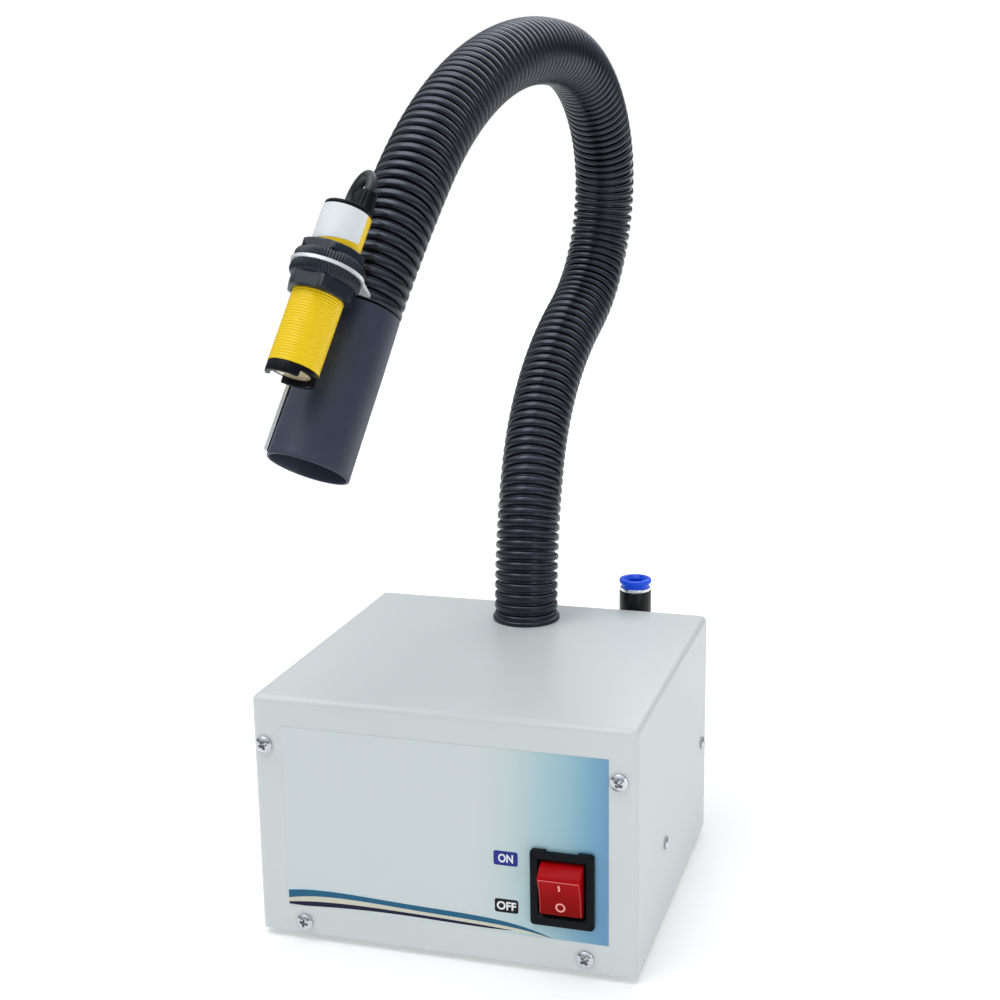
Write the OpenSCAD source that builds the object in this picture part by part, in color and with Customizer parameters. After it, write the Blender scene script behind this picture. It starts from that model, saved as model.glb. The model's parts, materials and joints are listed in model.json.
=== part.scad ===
// Ionising air snake for a workbench: a mains case feeds compressed air and high
// voltage up a self-supporting corrugated arm to a nozzle with an emitter needle.
// A photoelectric sensor beside the nozzle starts the blast.
// Origin: on the bench under the middle of the case. +X right, +Y back, +Z up.

/* [Case] */
// Width of the case
case_w = 154; // [146:1:170]
// Depth of the case
case_d = 143; // [140:1:160]
// Height of the sheet-metal case, without its feet
case_h = 99; // [96:1:110]
// Thickness of the sheet metal
sheet_t = 1.2; // [1:0.1:1.5]
// Outside radius of the cover's bends
bend_r = 3; // [2:0.5:5]
// Height of the rubber feet below the case
foot_h = 3; // [2:0.5:4]

/* [Arm] */
// Outside diameter of the corrugated conduit
hose_od = 28; // [27:0.5:28]
// Inside diameter of the corrugated conduit
hose_id = 23; // [23:0.5:24]
// Outside diameter of the metal gooseneck inside the conduit
core_od = 13; // [11:0.5:13]
// Bore of the gooseneck, which carries the air
core_id = 9; // [9:0.1:9.4]
// Distance of the arm's foot behind the middle of the case
arm_y = 50; // [46:1:50]
// Heading of the arm's first bend, from +Y towards -X
arm_turn = 6; // [0:1:12]

/* [Nozzle] */
// Length of the nozzle sleeve
sleeve_l = 60; // [58:1:66]
// Outside diameter of the sleeve where it meets the conduit
sleeve_top_d = 28; // [28:0.5:29]
// Outside diameter of the sleeve at its mouth
sleeve_mouth_d = 30.2; // [29:0.1:30.4]
// Diameter of the sensor's threaded barrel
sensor_d = 18; // [17:0.5:18]
// Distance between the sensor's axis and the nozzle's axis
sensor_gap = 29; // [29:0.5:32]
// Direction of the sensor, seen along the nozzle
sensor_turn = 21; // [15:1:27]

/* [Switch and fittings] */
// Width of the rocker switch's bezel
bezel_w = 24.9; // [24.5:0.1:26]
// Height of the rocker switch's bezel
bezel_h = 30.8; // [30.5:0.1:32]
// Half of the rocker's travel
rocker_tilt = 13; // [8:1:13]
// Outside diameter of the air tube that the elbow takes
air_tube_d = 8; // [6:1:8]

/* [Hidden] */
$fn = 64;

slack = 0.02;                        // room between pieces that are fixed together
running = 0.05;                      // radial clearance of pins and slides
bite = 0.01;                         // overlap that joins the solids of one piece

// Case
half_w = case_w / 2;
front_y = -case_d / 2;
back_y = case_d / 2;
floor_z = foot_h + sheet_t;          // top of the chassis plate
roof_z = foot_h + case_h;            // top of the case
label_t = 0.2;
label_box = [-64.5, 66, 15, 90];     // left, right, bottom, top
front_screw_places = [[-72, 82], [70, 81.5], [-58, 8], [57, 8.3]];
side_screw_places = [[-19, 34.5], [62, 46]];
foot_x = half_w - 20;
foot_y = back_y - 20;

// Screws
m3 = 3;
m3_head = 6.8;
m3_head_h = 2.2;

// Rocker switch
switch_x = 48.4;
switch_z = 36.4;
bezel_t = 2;
cutout_w = 22;
cutout_h = 28.6;
rocker_w = 16.6;
rocker_r = 10.75;
rocker_face = 7.2;                   // height of the rocker's face above its pivot
rocker_y = front_y + 1.3;            // pivot line
pivot_d = 2.5;
housing_back = front_y + 22;

// Mains inlet with its fuse drawer
inlet_x = -40;
inlet_z = 38;
inlet_flange = [50, 3, 32];
inlet_cavity = [24.6, 17, 16.9];
drawer_size = [20, 18, 7];
drawer_z = -12.5;                    // below the middle of the inlet
inlet_back = back_y - 20;

// Air inlet elbow
elbow_x = 42;
elbow_y = back_y + 12.5;
elbow_z = 85;
elbow_d = 14.4;
elbow_top = 108.2;
collar_travel = 1.5;
collar_rim_z = 111.3;
collar_top = 113.7;
collar_neck_d = 12.6;
stem_hex_y = back_y + 4;

// Solenoid valve
valve_x = 30;
valve_y = 37;
valve_body_h = 22;
coil_h = 30;
port_z = floor_z + 11;
plunger_d = 8;
plunger_l = 20;
plunger_travel = 1.5;
spring_wire = 1;
spring_r = 3;
spring_turns = 5;
spring_l = 7.5;

// Route of the arm: each arc has its length, its bend and the turn of its plane
arcs = [[69, 36.5, 0], [89, 25.5, -31], [95, -93, 26], [75, -51.5, -2],
    [79, -25.5, 4], [67, -20, 8], [63, -20.5, -29]];
last = len(arcs) - 1;
hinge_gap = 3.1;                     // half of the conduit's gap at a hinge
core_gap = 1.4;                      // half of the gooseneck's gap at a hinge
base_lip = 2;                        // flange of the arm's base fitting
base_gap = 0.33;                     // room above it for the conduit's leaning end
groove = 0.05;                       // half of the groove between two arcs
skin = 0.25;                         // wall left outside and inside a cuff
cuff_l = 3;

// A frame is a point, the direction along the arm and the normal of the bend
function turned(f, r) = [f[0], f[1], cos(r) * f[2] + sin(r) * cross(f[1], f[2])];
function bend_radius(l, a) = l / (a * PI / 180);
function along(f, l, a) = let (r = bend_radius(l, a))
    [f[0] + f[1] * r * sin(a) + f[2] * r * (1 - cos(a)),
     f[1] * cos(a) + f[2] * sin(a),
     f[2] * cos(a) - f[1] * sin(a)];
function arc_end(k) = along(arc_start(k), arcs[k][0], arcs[k][1]);
function arc_start(k) = turned(
    k == 0 ? [[0, arm_y, roof_z], [0, 0, 1], [-sin(arm_turn), cos(arm_turn), 0]]
           : arc_end(k - 1),
    arcs[k][2]);
function columns(x, y, z, p) = [[x[0], y[0], z[0], p[0]], [x[1], y[1], z[1], p[1]],
    [x[2], y[2], z[2], p[2]], [0, 0, 0, 1]];

// Nozzle, in its own frame: z runs from the conduit's end to the mouth
leg_turn = 79;                       // direction of the bracket's leg
sensor_side = sensor_turn - leg_turn;
sensor_tail = -25;
sensor_thread = -9;
sensor_face = 34;
plate_z = -2.2;
plate_t = 1.2;
leg_r = sleeve_mouth_d / 2 + 0.25;
leg_sweep = 70;
leg_end = 58;
nut_flange_d = 25;
nut_hex = 21.5;
boot_shift = 4.5;                    // boot's place, from the sensor's axis
boot_top = -33.3;
cable_d = 4;
cable_bend = 8;
cable_turn = 70;                     // direction of the cable's loop
cable_end = 2;                       // straight length through the conduit's wall
trimmer_d = 3.4;
tube_r = sleeve_top_d / 2 - 1.5;
tube_bore = tube_r - 2;
holder_z = 4;
holder_t = 8;

// ---------------------------------------------------------------- shared shapes

// A block with rounded corners at +y, its lower edge on y = 0
module top_rounded(w, h, r) {
    translate([-w / 2, 0]) square([w, h - r]);
    translate([-w / 2 + r, 0]) square([w - 2 * r, h]);
    for (s = [-1, 1]) translate([s * (w / 2 - r), h - r]) circle(r = r);
}

// Case shell without its rear and bottom, shrunk by t on every closed side
module case_form(t, r) {
    w = case_w - 2 * t;
    intersection() {
        translate([0, back_y, foot_h]) rotate([90, 0, 0])
            linear_extrude(case_d) top_rounded(w, case_h - t, r);
        translate([0, back_y, foot_h]) rotate([0, 0, 180])
            linear_extrude(case_h) top_rounded(w, case_d - t, r);
        translate([-half_w, front_y + t, foot_h]) rotate([90, 0, 90])
            linear_extrude(case_w) {
                translate([r, 0]) square([case_d - t - r, case_h - t]);
                square([case_d - t, case_h - t - r]);
                translate([r, case_h - t - r]) circle(r = r);
            }
    }
}

// Pan-head screw with a cross recess, head outwards along +z, seat on z = 0
module pan_screw(head_d, head_h, shank_d, shank_l) {
    difference() {
        union() {
            rotate_extrude() intersection() {
                translate([0, -head_h]) circle(r = 2 * head_h);
                square([head_d / 2, head_h]);
            }
            translate([0, 0, -shank_l]) cylinder(d = shank_d, h = shank_l + bite);
        }
        for (a = [0, 90]) rotate([0, 0, a])
            translate([-head_d * 0.26, -head_h * 0.18, head_h * 0.45])
                cube([head_d * 0.52, head_h * 0.36, head_h]);
    }
}

module hex_prism(flats, h) {
    cylinder(d = flats / cos(30), h = h, $fn = 6);
}

// Round rod through a list of points, with balls at its corners
module rod_path(points, d) {
    for (i = [0 : len(points) - 2]) {
        v = points[i + 1] - points[i];
        translate(points[i])
            rotate([0, acos(v[2] / norm(v)), atan2(v[1], v[0])])
                cylinder(d = d, h = norm(v));
        if (i > 0) translate(points[i]) sphere(d = d);
    }
}

// Part of arc k as a tube, from s0 to s1 along its length
module arc_tube(k, s0, s1, od, id) {
    f = arc_start(k);
    l = arcs[k][0];
    a = arcs[k][1];
    r = bend_radius(l, a);
    side = sign(a);
    multmatrix(columns(-side * f[2], f[1], side * cross(f[1], f[2]), f[0] + r * f[2]))
        rotate([0, 0, s0 / l * abs(a)]) rotate_extrude(angle = (s1 - s0) / l * abs(a))
            translate([abs(r), 0]) difference() {
                circle(d = od);
                circle(d = id);
            }
}

// Body j of the arm: from the hinge in arc j - 1 to the hinge in arc j. A cuff
// inside the wall joins the two arcs across a hairline groove.
module arm_tube(j, od, id, gap, lead) {
    if (j > 0) {
        arc_tube(j - 1, arcs[j - 1][0] / 2 + gap, arcs[j - 1][0] - groove, od, id);
        cuff(arc_start(j), od, id);
    }
    arc_tube(j, lead, j < last ? arcs[j][0] / 2 - gap : arcs[j][0], od, id);
}

module cuff(f, od, id) {
    multmatrix(columns(f[2], cross(f[1], f[2]), f[1], f[0])) difference() {
        cylinder(d = od - 2 * skin, h = cuff_l, center = true);
        cylinder(d = id + 2 * skin, h = cuff_l + 2, center = true);
    }
}

module conduit(j) {
    color([0.09, 0.10, 0.12]) difference() {
        arm_tube(j, hose_od, hose_id, hinge_gap, j == 0 ? base_lip + base_gap : groove);
        if (j == last) at_nozzle() cable_run(cable_d + 2 * slack);
    }
}

module gooseneck(j) {
    color([0.62, 0.63, 0.65]) {
        arm_tube(j, core_od, core_id, core_gap, groove);
        if (j == 0) {
            cuff(arc_start(0), core_od, core_id);
            translate([0, arm_y, roof_z - 12]) difference() {
                cylinder(d = core_od, h = 12 - groove);
                translate([0, 0, -1]) cylinder(d = core_id, h = 14);
            }
        }
    }
}

// Nozzle frame: x is the side of the bracket's leg, z points out of the mouth
module at_nozzle() {
    f = arc_end(last);
    multmatrix(columns(f[2], cross(f[1], f[2]), f[1], f[0]))
        rotate([0, 0, leg_turn]) children();
}

module at_sensor() {
    at_nozzle() rotate([0, 0, sensor_side]) translate([sensor_gap, 0, 0])
        rotate([0, 0, -sensor_side]) children();
}

// ------------------------------------------------------------------------- case

module front_holes(d) {
    for (p = front_screw_places) translate([p[0], front_y - 1, p[1]])
        rotate([-90, 0, 0]) cylinder(d = d, h = 6);
}

module side_holes(d) {
    for (s = [-1, 1]) for (p = side_screw_places)
        translate([s * (half_w + 1), p[0], p[1]])
            rotate([0, -s * 90, 0]) cylinder(d = d, h = 6);
}

module switch_cutout() {
    translate([switch_x - cutout_w / 2, front_y - 5, switch_z - cutout_h / 2])
        cube([cutout_w, 10, cutout_h]);
}

module cover() {
    color([0.82, 0.84, 0.86]) difference() {
        case_form(0, bend_r);
        translate([0, bite, -bite]) case_form(sheet_t, bend_r - sheet_t);
        front_holes(m3 + 0.2);
        side_holes(m3 + 0.2);
        switch_cutout();
        translate([0, arm_y, roof_z - 5]) cylinder(d = 20.2, h = 10);
    }
}

module chassis() {
    inner_w = case_w - 2 * sheet_t - 2 * slack;
    inner_front = front_y + sheet_t + slack;
    inner_r = bend_r - sheet_t;
    ear_h = 14;
    color([0.70, 0.72, 0.74]) difference() {
        union() {
            translate([0, back_y, foot_h]) rotate([0, 0, 180]) linear_extrude(sheet_t)
                top_rounded(inner_w, back_y - inner_front, inner_r);
            translate([inner_r - inner_w / 2, inner_front, foot_h])
                cube([inner_w - 2 * inner_r, sheet_t, 86]);
            translate([0, back_y, foot_h]) rotate([90, 0, 0]) linear_extrude(sheet_t)
                top_rounded(inner_w, case_h - sheet_t - slack, inner_r);
            for (s = [-1, 1]) {
                translate([s * (inner_w / 2 - sheet_t / 2), side_screw_places[0][0],
                    (foot_h + side_screw_places[0][1] + ear_h / 2) / 2])
                    cube([sheet_t, ear_h, side_screw_places[0][1] + ear_h / 2 - foot_h],
                        center = true);
                translate([s * (inner_w / 2 - sheet_t / 2), back_y - ear_h / 2,
                    side_screw_places[1][1]])
                    cube([sheet_t, ear_h, ear_h], center = true);
            }
        }
        front_holes(m3 + 2 * slack);
        side_holes(m3 + 2 * slack);
        switch_cutout();
        for (x = [-foot_x, foot_x]) for (y = [-foot_y, foot_y])
            translate([x, y, 0]) cylinder(d = m3 + 2 * slack, h = 10);
        translate([inlet_x - 16, back_y - 5, inlet_z - 17.7]) cube([32, 10, 28.4]);
        for (s = [-1, 1]) translate([inlet_x + s * 20, back_y - 5, inlet_z])
            rotate([-90, 0, 0]) cylinder(d = m3 + 2 * slack, h = 10);
        translate([elbow_x, back_y - 5, elbow_z]) rotate([-90, 0, 0])
            cylinder(d = 13.2, h = 10);
        translate([-20, 45, 0]) cylinder(d = 4 + 2 * slack, h = 10);
    }
}

module front_label() {
    color([0.66, 0.78, 0.85]) difference() {
        translate([label_box[0], front_y - label_t, label_box[2]])
            cube([label_box[1] - label_box[0], label_t, label_box[3] - label_box[2]]);
        switch_cutout();
    }
}

module front_screws() {
    color("silver") for (p = front_screw_places) translate([p[0], front_y, p[1]])
        rotate([90, 0, 0]) pan_screw(m3_head, m3_head_h, m3, 6);
}

module side_screws() {
    color("silver") for (s = [-1, 1]) for (p = side_screw_places)
        translate([s * half_w, p[0], p[1]]) rotate([0, s * 90, 0])
            pan_screw(5.6, 1.8, m3, 5);
}

module rubber_feet() {
    color([0.08, 0.08, 0.08]) for (x = [-foot_x, foot_x]) for (y = [-foot_y, foot_y])
        translate([x, y, 0]) difference() {
            cylinder(d1 = 12, d2 = 14, h = foot_h);
            translate([0, 0, -1]) cylinder(d = 7, h = 2.7);
            cylinder(d = m3 + 2 * slack, h = foot_h + 1);
        }
}

module foot_screws() {
    color("silver") for (x = [-foot_x, foot_x]) for (y = [-foot_y, foot_y])
        translate([x, y, 1.7]) rotate([180, 0, 0]) pan_screw(5.6, 1.4, m3, 6);
}

module earth_stud() {
    color([0.80, 0.66, 0.30]) translate([-20, 45, foot_h]) {
        cylinder(d = 4, h = 12);
        translate([0, 0, sheet_t]) hex_prism(7, 3);
    }
}

// ---------------------------------------------------------------- rocker switch

module switch_housing() {
    cavity_w = rocker_w + 0.7;
    cavity_h = 2 * rocker_r + 0.7;
    color([0.05, 0.05, 0.06]) difference() {
        union() {
            translate([switch_x - bezel_w / 2, front_y - label_t - bezel_t,
                switch_z - bezel_h / 2])
                cube([bezel_w, bezel_t, bezel_h]);
            translate([switch_x - cutout_w / 2 + 0.1, front_y - label_t - bite,
                switch_z - cutout_h / 2 + 0.1])
                cube([cutout_w - 0.2, housing_back - front_y, cutout_h - 0.2]);
        }
        translate([switch_x - cavity_w / 2, front_y - 5, switch_z - cavity_h / 2])
            cube([cavity_w, 17, cavity_h]);
        translate([switch_x - cutout_w / 2 - 1, rocker_y, switch_z])
            rotate([0, 90, 0]) cylinder(d = pivot_d + 2 * running, h = cutout_w + 2);
    }
}

module switch_terminals() {
    color([0.82, 0.80, 0.72]) for (x = [-4.5, 4.5]) for (z = [-6, 6])
        translate([switch_x + x - 2.4, housing_back - label_t - bite, switch_z + z - 0.4])
            cube([4.8, 8, 0.8]);
}

module switch_rocker() {
    color([0.75, 0.08, 0.08]) translate([switch_x, rocker_y, switch_z])
        rotate([rocker_tilt, 0, 0]) {
            rotate([90, 0, 90]) translate([0, 0, -rocker_w / 2])
                linear_extrude(rocker_w) difference() {
                    intersection() {
                        circle(r = rocker_r);
                        translate([-rocker_face, -rocker_r])
                            square([rocker_face + 4, 2 * rocker_r]);
                    }
                    translate([-rocker_face - 39.2, 0]) circle(r = 40);
                }
            rotate([0, 90, 0]) cylinder(d = pivot_d, h = rocker_w + 4, center = true);
        }
}

// ------------------------------------------------------------------ mains inlet

module mains_inlet() {
    color([0.06, 0.06, 0.07]) translate([inlet_x, back_y, inlet_z]) difference() {
        union() {
            translate([-inlet_flange[0] / 2, 0, -inlet_flange[2] / 2 - 2.5])
                cube(inlet_flange);
            translate([-15.9, -20, -17.6]) cube([31.8, 20 + bite, 28.2]);
        }
        translate([-inlet_cavity[0] / 2, inlet_flange[1] - inlet_cavity[1],
            -inlet_cavity[2] / 2 + 1])
            cube(inlet_cavity + [0, 1, 0]);
        translate([-drawer_size[0] / 2 - 0.3, inlet_flange[1] - drawer_size[1],
            drawer_z - drawer_size[2] / 2 - 0.3])
            cube(drawer_size + [0.6, 1, 0.6]);
        for (s = [-1, 1]) translate([s * 20, -1, 0]) rotate([-90, 0, 0])
            cylinder(d = m3 + 0.2, h = 6);
        for (p = [[-7, -1], [7, -1], [0, 4]])
            translate([p[0] - 2, -21, p[1]]) cube([4, 10, 2]);
    }
}

module inlet_pins() {
    color([0.85, 0.83, 0.78]) for (p = [[-7, -1], [7, -1], [0, 4]])
        translate([inlet_x + p[0] - 2 + slack, inlet_back - 4, inlet_z + p[1] + slack])
            cube([4 - 2 * slack, 21, 2 - 2 * slack]);
}

module inlet_screws() {
    color("silver") for (s = [-1, 1])
        translate([inlet_x + s * 20, back_y + inlet_flange[1], inlet_z])
            rotate([-90, 0, 0]) pan_screw(5.6, 1.8, m3, 8);
}

module fuse_drawer() {
    color([0.10, 0.10, 0.11]) translate([inlet_x, back_y + inlet_flange[1],
        inlet_z + drawer_z]) difference() {
            union() {
                translate([-drawer_size[0] / 2, 0.8 - drawer_size[1],
                    -drawer_size[2] / 2])
                    cube(drawer_size - [0, 0.5, 0]);
                translate([-drawer_size[0] / 2 - 1, 0.1, -drawer_size[2] / 2 + 0.4])
                    cube([drawer_size[0] + 2, 1.4, drawer_size[2] - 0.8]);
            }
            translate([-8, -15, -2.7]) cube([16, 12, 10]);
        }
}

// -------------------------------------------------------------- air inlet elbow

module fitting_stem() {
    color([0.80, 0.66, 0.35]) translate([elbow_x, back_y, elbow_z]) rotate([-90, 0, 0])
        difference() {
            union() {
                hex_prism(17, 4);
                cylinder(d = 10, h = 10.5);
                translate([0, 0, -16]) cylinder(d = 13, h = 16 + bite);
            }
            translate([0, 0, -17]) cylinder(d = 6, h = 30);
        }
}

module fitting_nut() {
    color([0.80, 0.66, 0.35]) translate([elbow_x, back_y - sheet_t - 5, elbow_z])
        rotate([-90, 0, 0]) difference() {
            hex_prism(19, 5);
            translate([0, 0, -1]) cylinder(d = 13 + 2 * slack, h = 8);
        }
}

module fitting_elbow() {
    color([0.05, 0.05, 0.05]) translate([elbow_x, elbow_y, elbow_z]) difference() {
        union() {
            cylinder(d = elbow_d, h = elbow_top - elbow_z);
            sphere(d = elbow_d);
            rotate([90, 0, 0]) cylinder(d = elbow_d, h = elbow_y - stem_hex_y - 0.3);
        }
        translate([0, 0, elbow_top - elbow_z - 4.9])
            cylinder(d = collar_neck_d + 0.1, h = 6);
        translate([0, 0, 5]) cylinder(d = air_tube_d + 0.04, h = 20);
        translate([0, 0, -1]) cylinder(d = 5.5, h = 10);
        rotate([90, 0, 0]) cylinder(d = 5.5, h = 12);
        translate([0, -1.8, 0]) rotate([90, 0, 0])
            cylinder(d = 10 + 2 * running, h = 12);
    }
}

module fitting_ring() {
    color([0.88, 0.89, 0.90]) translate([elbow_x, elbow_y, elbow_top]) difference() {
        cylinder(d = 13.8, h = 1.5);
        translate([0, 0, -1]) cylinder(d = collar_neck_d + 0.1, h = 4);
    }
}

module release_collar() {
    color([0.10, 0.30, 0.85]) translate([elbow_x, elbow_y, 0]) difference() {
        union() {
            translate([0, 0, elbow_top - 3.2])
                cylinder(d = collar_neck_d, h = collar_rim_z - elbow_top + 3.3);
            translate([0, 0, collar_rim_z])
                cylinder(d = 14.6, h = collar_top - collar_rim_z);
        }
        translate([0, 0, elbow_top - 5]) cylinder(d = air_tube_d + 0.2, h = 20);
        translate([0, 0, collar_top - 1])
            cylinder(d1 = air_tube_d + 0.2, d2 = air_tube_d + 2.6, h = 1.01);
    }
}

// --------------------------------------------------------------- solenoid valve

module valve_body() {
    color([0.78, 0.64, 0.34]) translate([valve_x, valve_y, floor_z]) difference() {
        union() {
            translate([-18, -11, 0]) cube([36, 22, valve_body_h]);
            translate([0, 0, valve_body_h]) cylinder(d = 12, h = 4);
        }
        translate([0, 0, 14]) cylinder(d = plunger_d + 2 * running, h = 20);
        translate([0, 0, 8]) cylinder(d = 4, h = 10);
        translate([-19, 0, 11 - bite]) rotate([0, 90, 0]) cylinder(d = 6.04, h = 8);
        translate([-12, 0, 11]) rotate([0, 90, 0]) cylinder(d = 4, h = 12);
        translate([0, 12, 11 - bite]) rotate([90, 0, 0]) cylinder(d = 6.04, h = 6);
    }
}

module valve_coil() {
    color([0.12, 0.12, 0.14]) translate([valve_x, valve_y, floor_z + valve_body_h])
        difference() {
            translate([-12, -11.5, 0]) cube([24, 23.5, coil_h]);
            translate([0, 0, -1]) cylinder(d = 12 + 2 * slack, h = 5.02);
            cylinder(d = plunger_d + 2 * running, h = 24);
        }
}

module valve_plunger() {
    color([0.66, 0.67, 0.70]) translate([valve_x, valve_y, floor_z + 14.1])
        cylinder(d = plunger_d, h = plunger_l);
}

// Compression spring of half turns, each tilted by half of the pitch
module valve_spring() {
    pitch = (spring_l - spring_wire) / spring_turns;
    lean = asin(pitch / 4 / spring_r);
    color([0.75, 0.76, 0.78])
        translate([valve_x, valve_y, floor_z + 14.1 + plunger_l + spring_wire / 2])
            for (i = [0 : 2 * spring_turns - 1])
                translate([0, 0, pitch * (i / 2 + 0.25)]) rotate([0, 0, 180 * i])
                    rotate([0, lean, 0]) rotate([0, 0, 180])
                        rotate_extrude(angle = 180) translate([spring_r, 0])
                            circle(d = spring_wire, $fn = 16);
}

module air_tubes() {
    feed = [[elbow_x, back_y - 16, elbow_z], [elbow_x, 52.4, elbow_z],
        [elbow_x, 52.4, port_z], [valve_x, 52.4, port_z], [valve_x, 43, port_z]];
    lift = [[valve_x - 12, valve_y, port_z], [0, valve_y, port_z], [0, valve_y, 78],
        [0, arm_y, 78], [0, arm_y, 92]];
    color([0.15, 0.35, 0.75]) {
        difference() {
            rod_path(feed, 6);
            rod_path(feed, 4);
        }
        difference() {
            union() {
                rod_path(lift, 6);
                translate([0, arm_y, 84]) cylinder(d = core_id - 0.2, h = 12);
            }
            rod_path(lift, 4);
            translate([0, arm_y, 90]) cylinder(d = 4, h = 7);
        }
    }
}

// ------------------------------------------------------------------ electronics

module high_voltage_module() {
    color([0.10, 0.10, 0.12]) {
        translate([-68, -20, floor_z]) cube([60, 50, 34]);
        translate([-38, 30 - bite, floor_z + 26]) rotate([-90, 0, 0])
            cylinder(d = 7, h = 8);
        for (x = [-62, -14]) translate([x - 5, -28, floor_z])
            cube([10, 8 + bite, 3]);
    }
}

module control_board() {
    board_z = floor_z + 8;
    color([0.08, 0.35, 0.20]) difference() {
        union() {
            translate([6, -36, board_z]) cube([64, 50, 1.6]);
            translate([13.5, -14, board_z + 1.6 - bite]) cube([28, 24, 20]);
            translate([47, -8, board_z + 1.6 - bite]) cube([19, 15, 15]);
            translate([46, -31, board_z + 1.6 - bite]) cube([18, 8, 10]);
            for (x = [18, 31]) translate([x, -24, board_z + 1.6 - bite])
                cylinder(d = 10, h = 16);
        }
        for (x = [9.5, 66.5]) for (y = [-32.5, 10.5])
            translate([x, y, board_z - 1]) cylinder(d = m3 + 2 * slack, h = 4);
    }
}

module board_standoffs() {
    color([0.80, 0.66, 0.35]) for (x = [9.5, 66.5]) for (y = [-32.5, 10.5])
        translate([x, y, floor_z]) {
            hex_prism(5.5, 8);
            cylinder(d = m3, h = 12);
            translate([0, 0, 9.6]) hex_prism(5.5, 2.2);
        }
}

module wiring() {
    pin_back = inlet_back - 4;
    live = [[inlet_x - 7, pin_back, inlet_z], [inlet_x - 7, 44, inlet_z],
        [inlet_x - 7, 44, 60], [switch_x - 4.5, 44, 60], [switch_x - 4.5, -38, 60],
        [switch_x - 4.5, -38, switch_z - 6], [switch_x - 4.5, -41.6, switch_z - 6]];
    neutral = [[inlet_x + 7, pin_back, inlet_z], [inlet_x + 7, 46.2, inlet_z],
        [inlet_x + 7, 46.2, 64], [switch_x + 4.5, 46.2, 64],
        [switch_x + 4.5, -38, 64], [switch_x + 4.5, -38, switch_z - 6],
        [switch_x + 4.5, -41.6, switch_z - 6]];
    earth = [[inlet_x, pin_back, inlet_z + 5], [inlet_x, 42, inlet_z + 5],
        [inlet_x, 42, 10], [-20, 42, 10]];
    color([0.45, 0.25, 0.12]) rod_path(live, 2);
    color([0.15, 0.30, 0.70]) rod_path(neutral, 2);
    color([0.35, 0.60, 0.15]) rod_path(earth, 2);
}

// -------------------------------------------------------------------- arm's foot

module arm_base_fitting() {
    color([0.07, 0.07, 0.08]) translate([0, arm_y, roof_z]) difference() {
        union() {
            cylinder(d = 29.6, h = base_lip);
            cylinder(d = hose_id - 0.6, h = base_lip + 4);
            translate([0, 0, -12]) cylinder(d = 20, h = 12 + bite);
        }
        translate([0, 0, -13]) cylinder(d = core_od + 0.6, h = 30);
    }
}

module arm_lock_nut() {
    color([0.70, 0.71, 0.73]) translate([0, arm_y, roof_z - sheet_t - 5 - 2 * slack])
        difference() {
            hex_prism(27, 5);
            translate([0, 0, -1]) cylinder(d = 20 + 2 * slack, h = 7);
        }
}

// ------------------------------------------------------------------------ nozzle

module nozzle_sleeve() {
    wall = 1.1;
    top_r = sleeve_top_d / 2;
    mouth_r = sleeve_mouth_d / 2;
    color([0.16, 0.17, 0.20]) at_nozzle() rotate_extrude()
        polygon([[top_r - wall, 0], [top_r, 0], [mouth_r, sleeve_l],
            [mouth_r - wall, sleeve_l]]);
}

module nozzle_tube() {
    color([0.10, 0.10, 0.11]) at_nozzle() difference() {
        union() {
            translate([0, 0, 0.2]) cylinder(r = tube_r, h = 49.8);
            translate([0, 0, -8]) cylinder(d = hose_id - 0.6, h = 8.3);
        }
        translate([0, 0, -9]) cylinder(r = tube_bore, h = 70);
    }
}

module needle_holder() {
    color([0.85, 0.85, 0.82]) at_nozzle() difference() {
        union() {
            translate([0, 0, holder_z]) cylinder(r = tube_bore - slack, h = holder_t);
            translate([0, 0, -5]) cylinder(d = core_id - 0.3, h = holder_z + 6);
        }
        translate([0, 0, -6]) cylinder(d = 6, h = holder_z + 9);
        translate([0, 0, holder_z + 1.5]) cylinder(d = 15, h = 2);
        for (a = [0 : 60 : 300]) rotate([0, 0, a]) translate([5.5, 0, holder_z + 2])
            cylinder(d = 3, h = holder_t);
        cylinder(d = 1.6 + 2 * slack, h = 20);
    }
}

module emitter_needle() {
    color([0.80, 0.80, 0.82]) at_nozzle() {
        translate([0, 0, holder_z + 4]) cylinder(d = 1.6, h = 20);
        translate([0, 0, holder_z + 24]) cylinder(d1 = 1.6, d2 = 0.2, h = 6);
    }
}

module sensor_bracket() {
    reach = nut_flange_d / 2 + 0.5;
    place = sensor_gap * [cos(sensor_side), sin(sensor_side)];
    leg_out = leg_r + plate_t;
    color([0.85, 0.86, 0.88]) at_nozzle() {
        translate([0, 0, plate_z]) linear_extrude(plate_t) difference() {
            union() {
                translate(place) circle(r = reach);
                polygon([place + [reach, 0], [leg_out, 0], [0, 0], [-1, -14.6],
                    place + [-reach, 0]]);
                intersection() {
                    circle(r = leg_out);
                    polygon([[0, 0], [40, 0], [40, 40 * tan(leg_sweep / 2)],
                        40 * [cos(leg_sweep), sin(leg_sweep)]]);
                }
            }
            circle(d = hose_od + 0.4);
            translate(place) circle(d = sensor_d + 0.3);
        }
        translate([0, 0, plate_z]) difference() {
            rotate_extrude(angle = leg_sweep)
                translate([leg_r, 0]) square([plate_t, leg_end - plate_z]);
            rivet_holes(2.5 + 2 * slack);
        }
    }
}

module rivet_holes(d) {
    for (z = [20, 44]) translate([0, 0, z]) rotate([0, 90, leg_sweep / 2])
        cylinder(d = d, h = 30);
}

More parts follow.
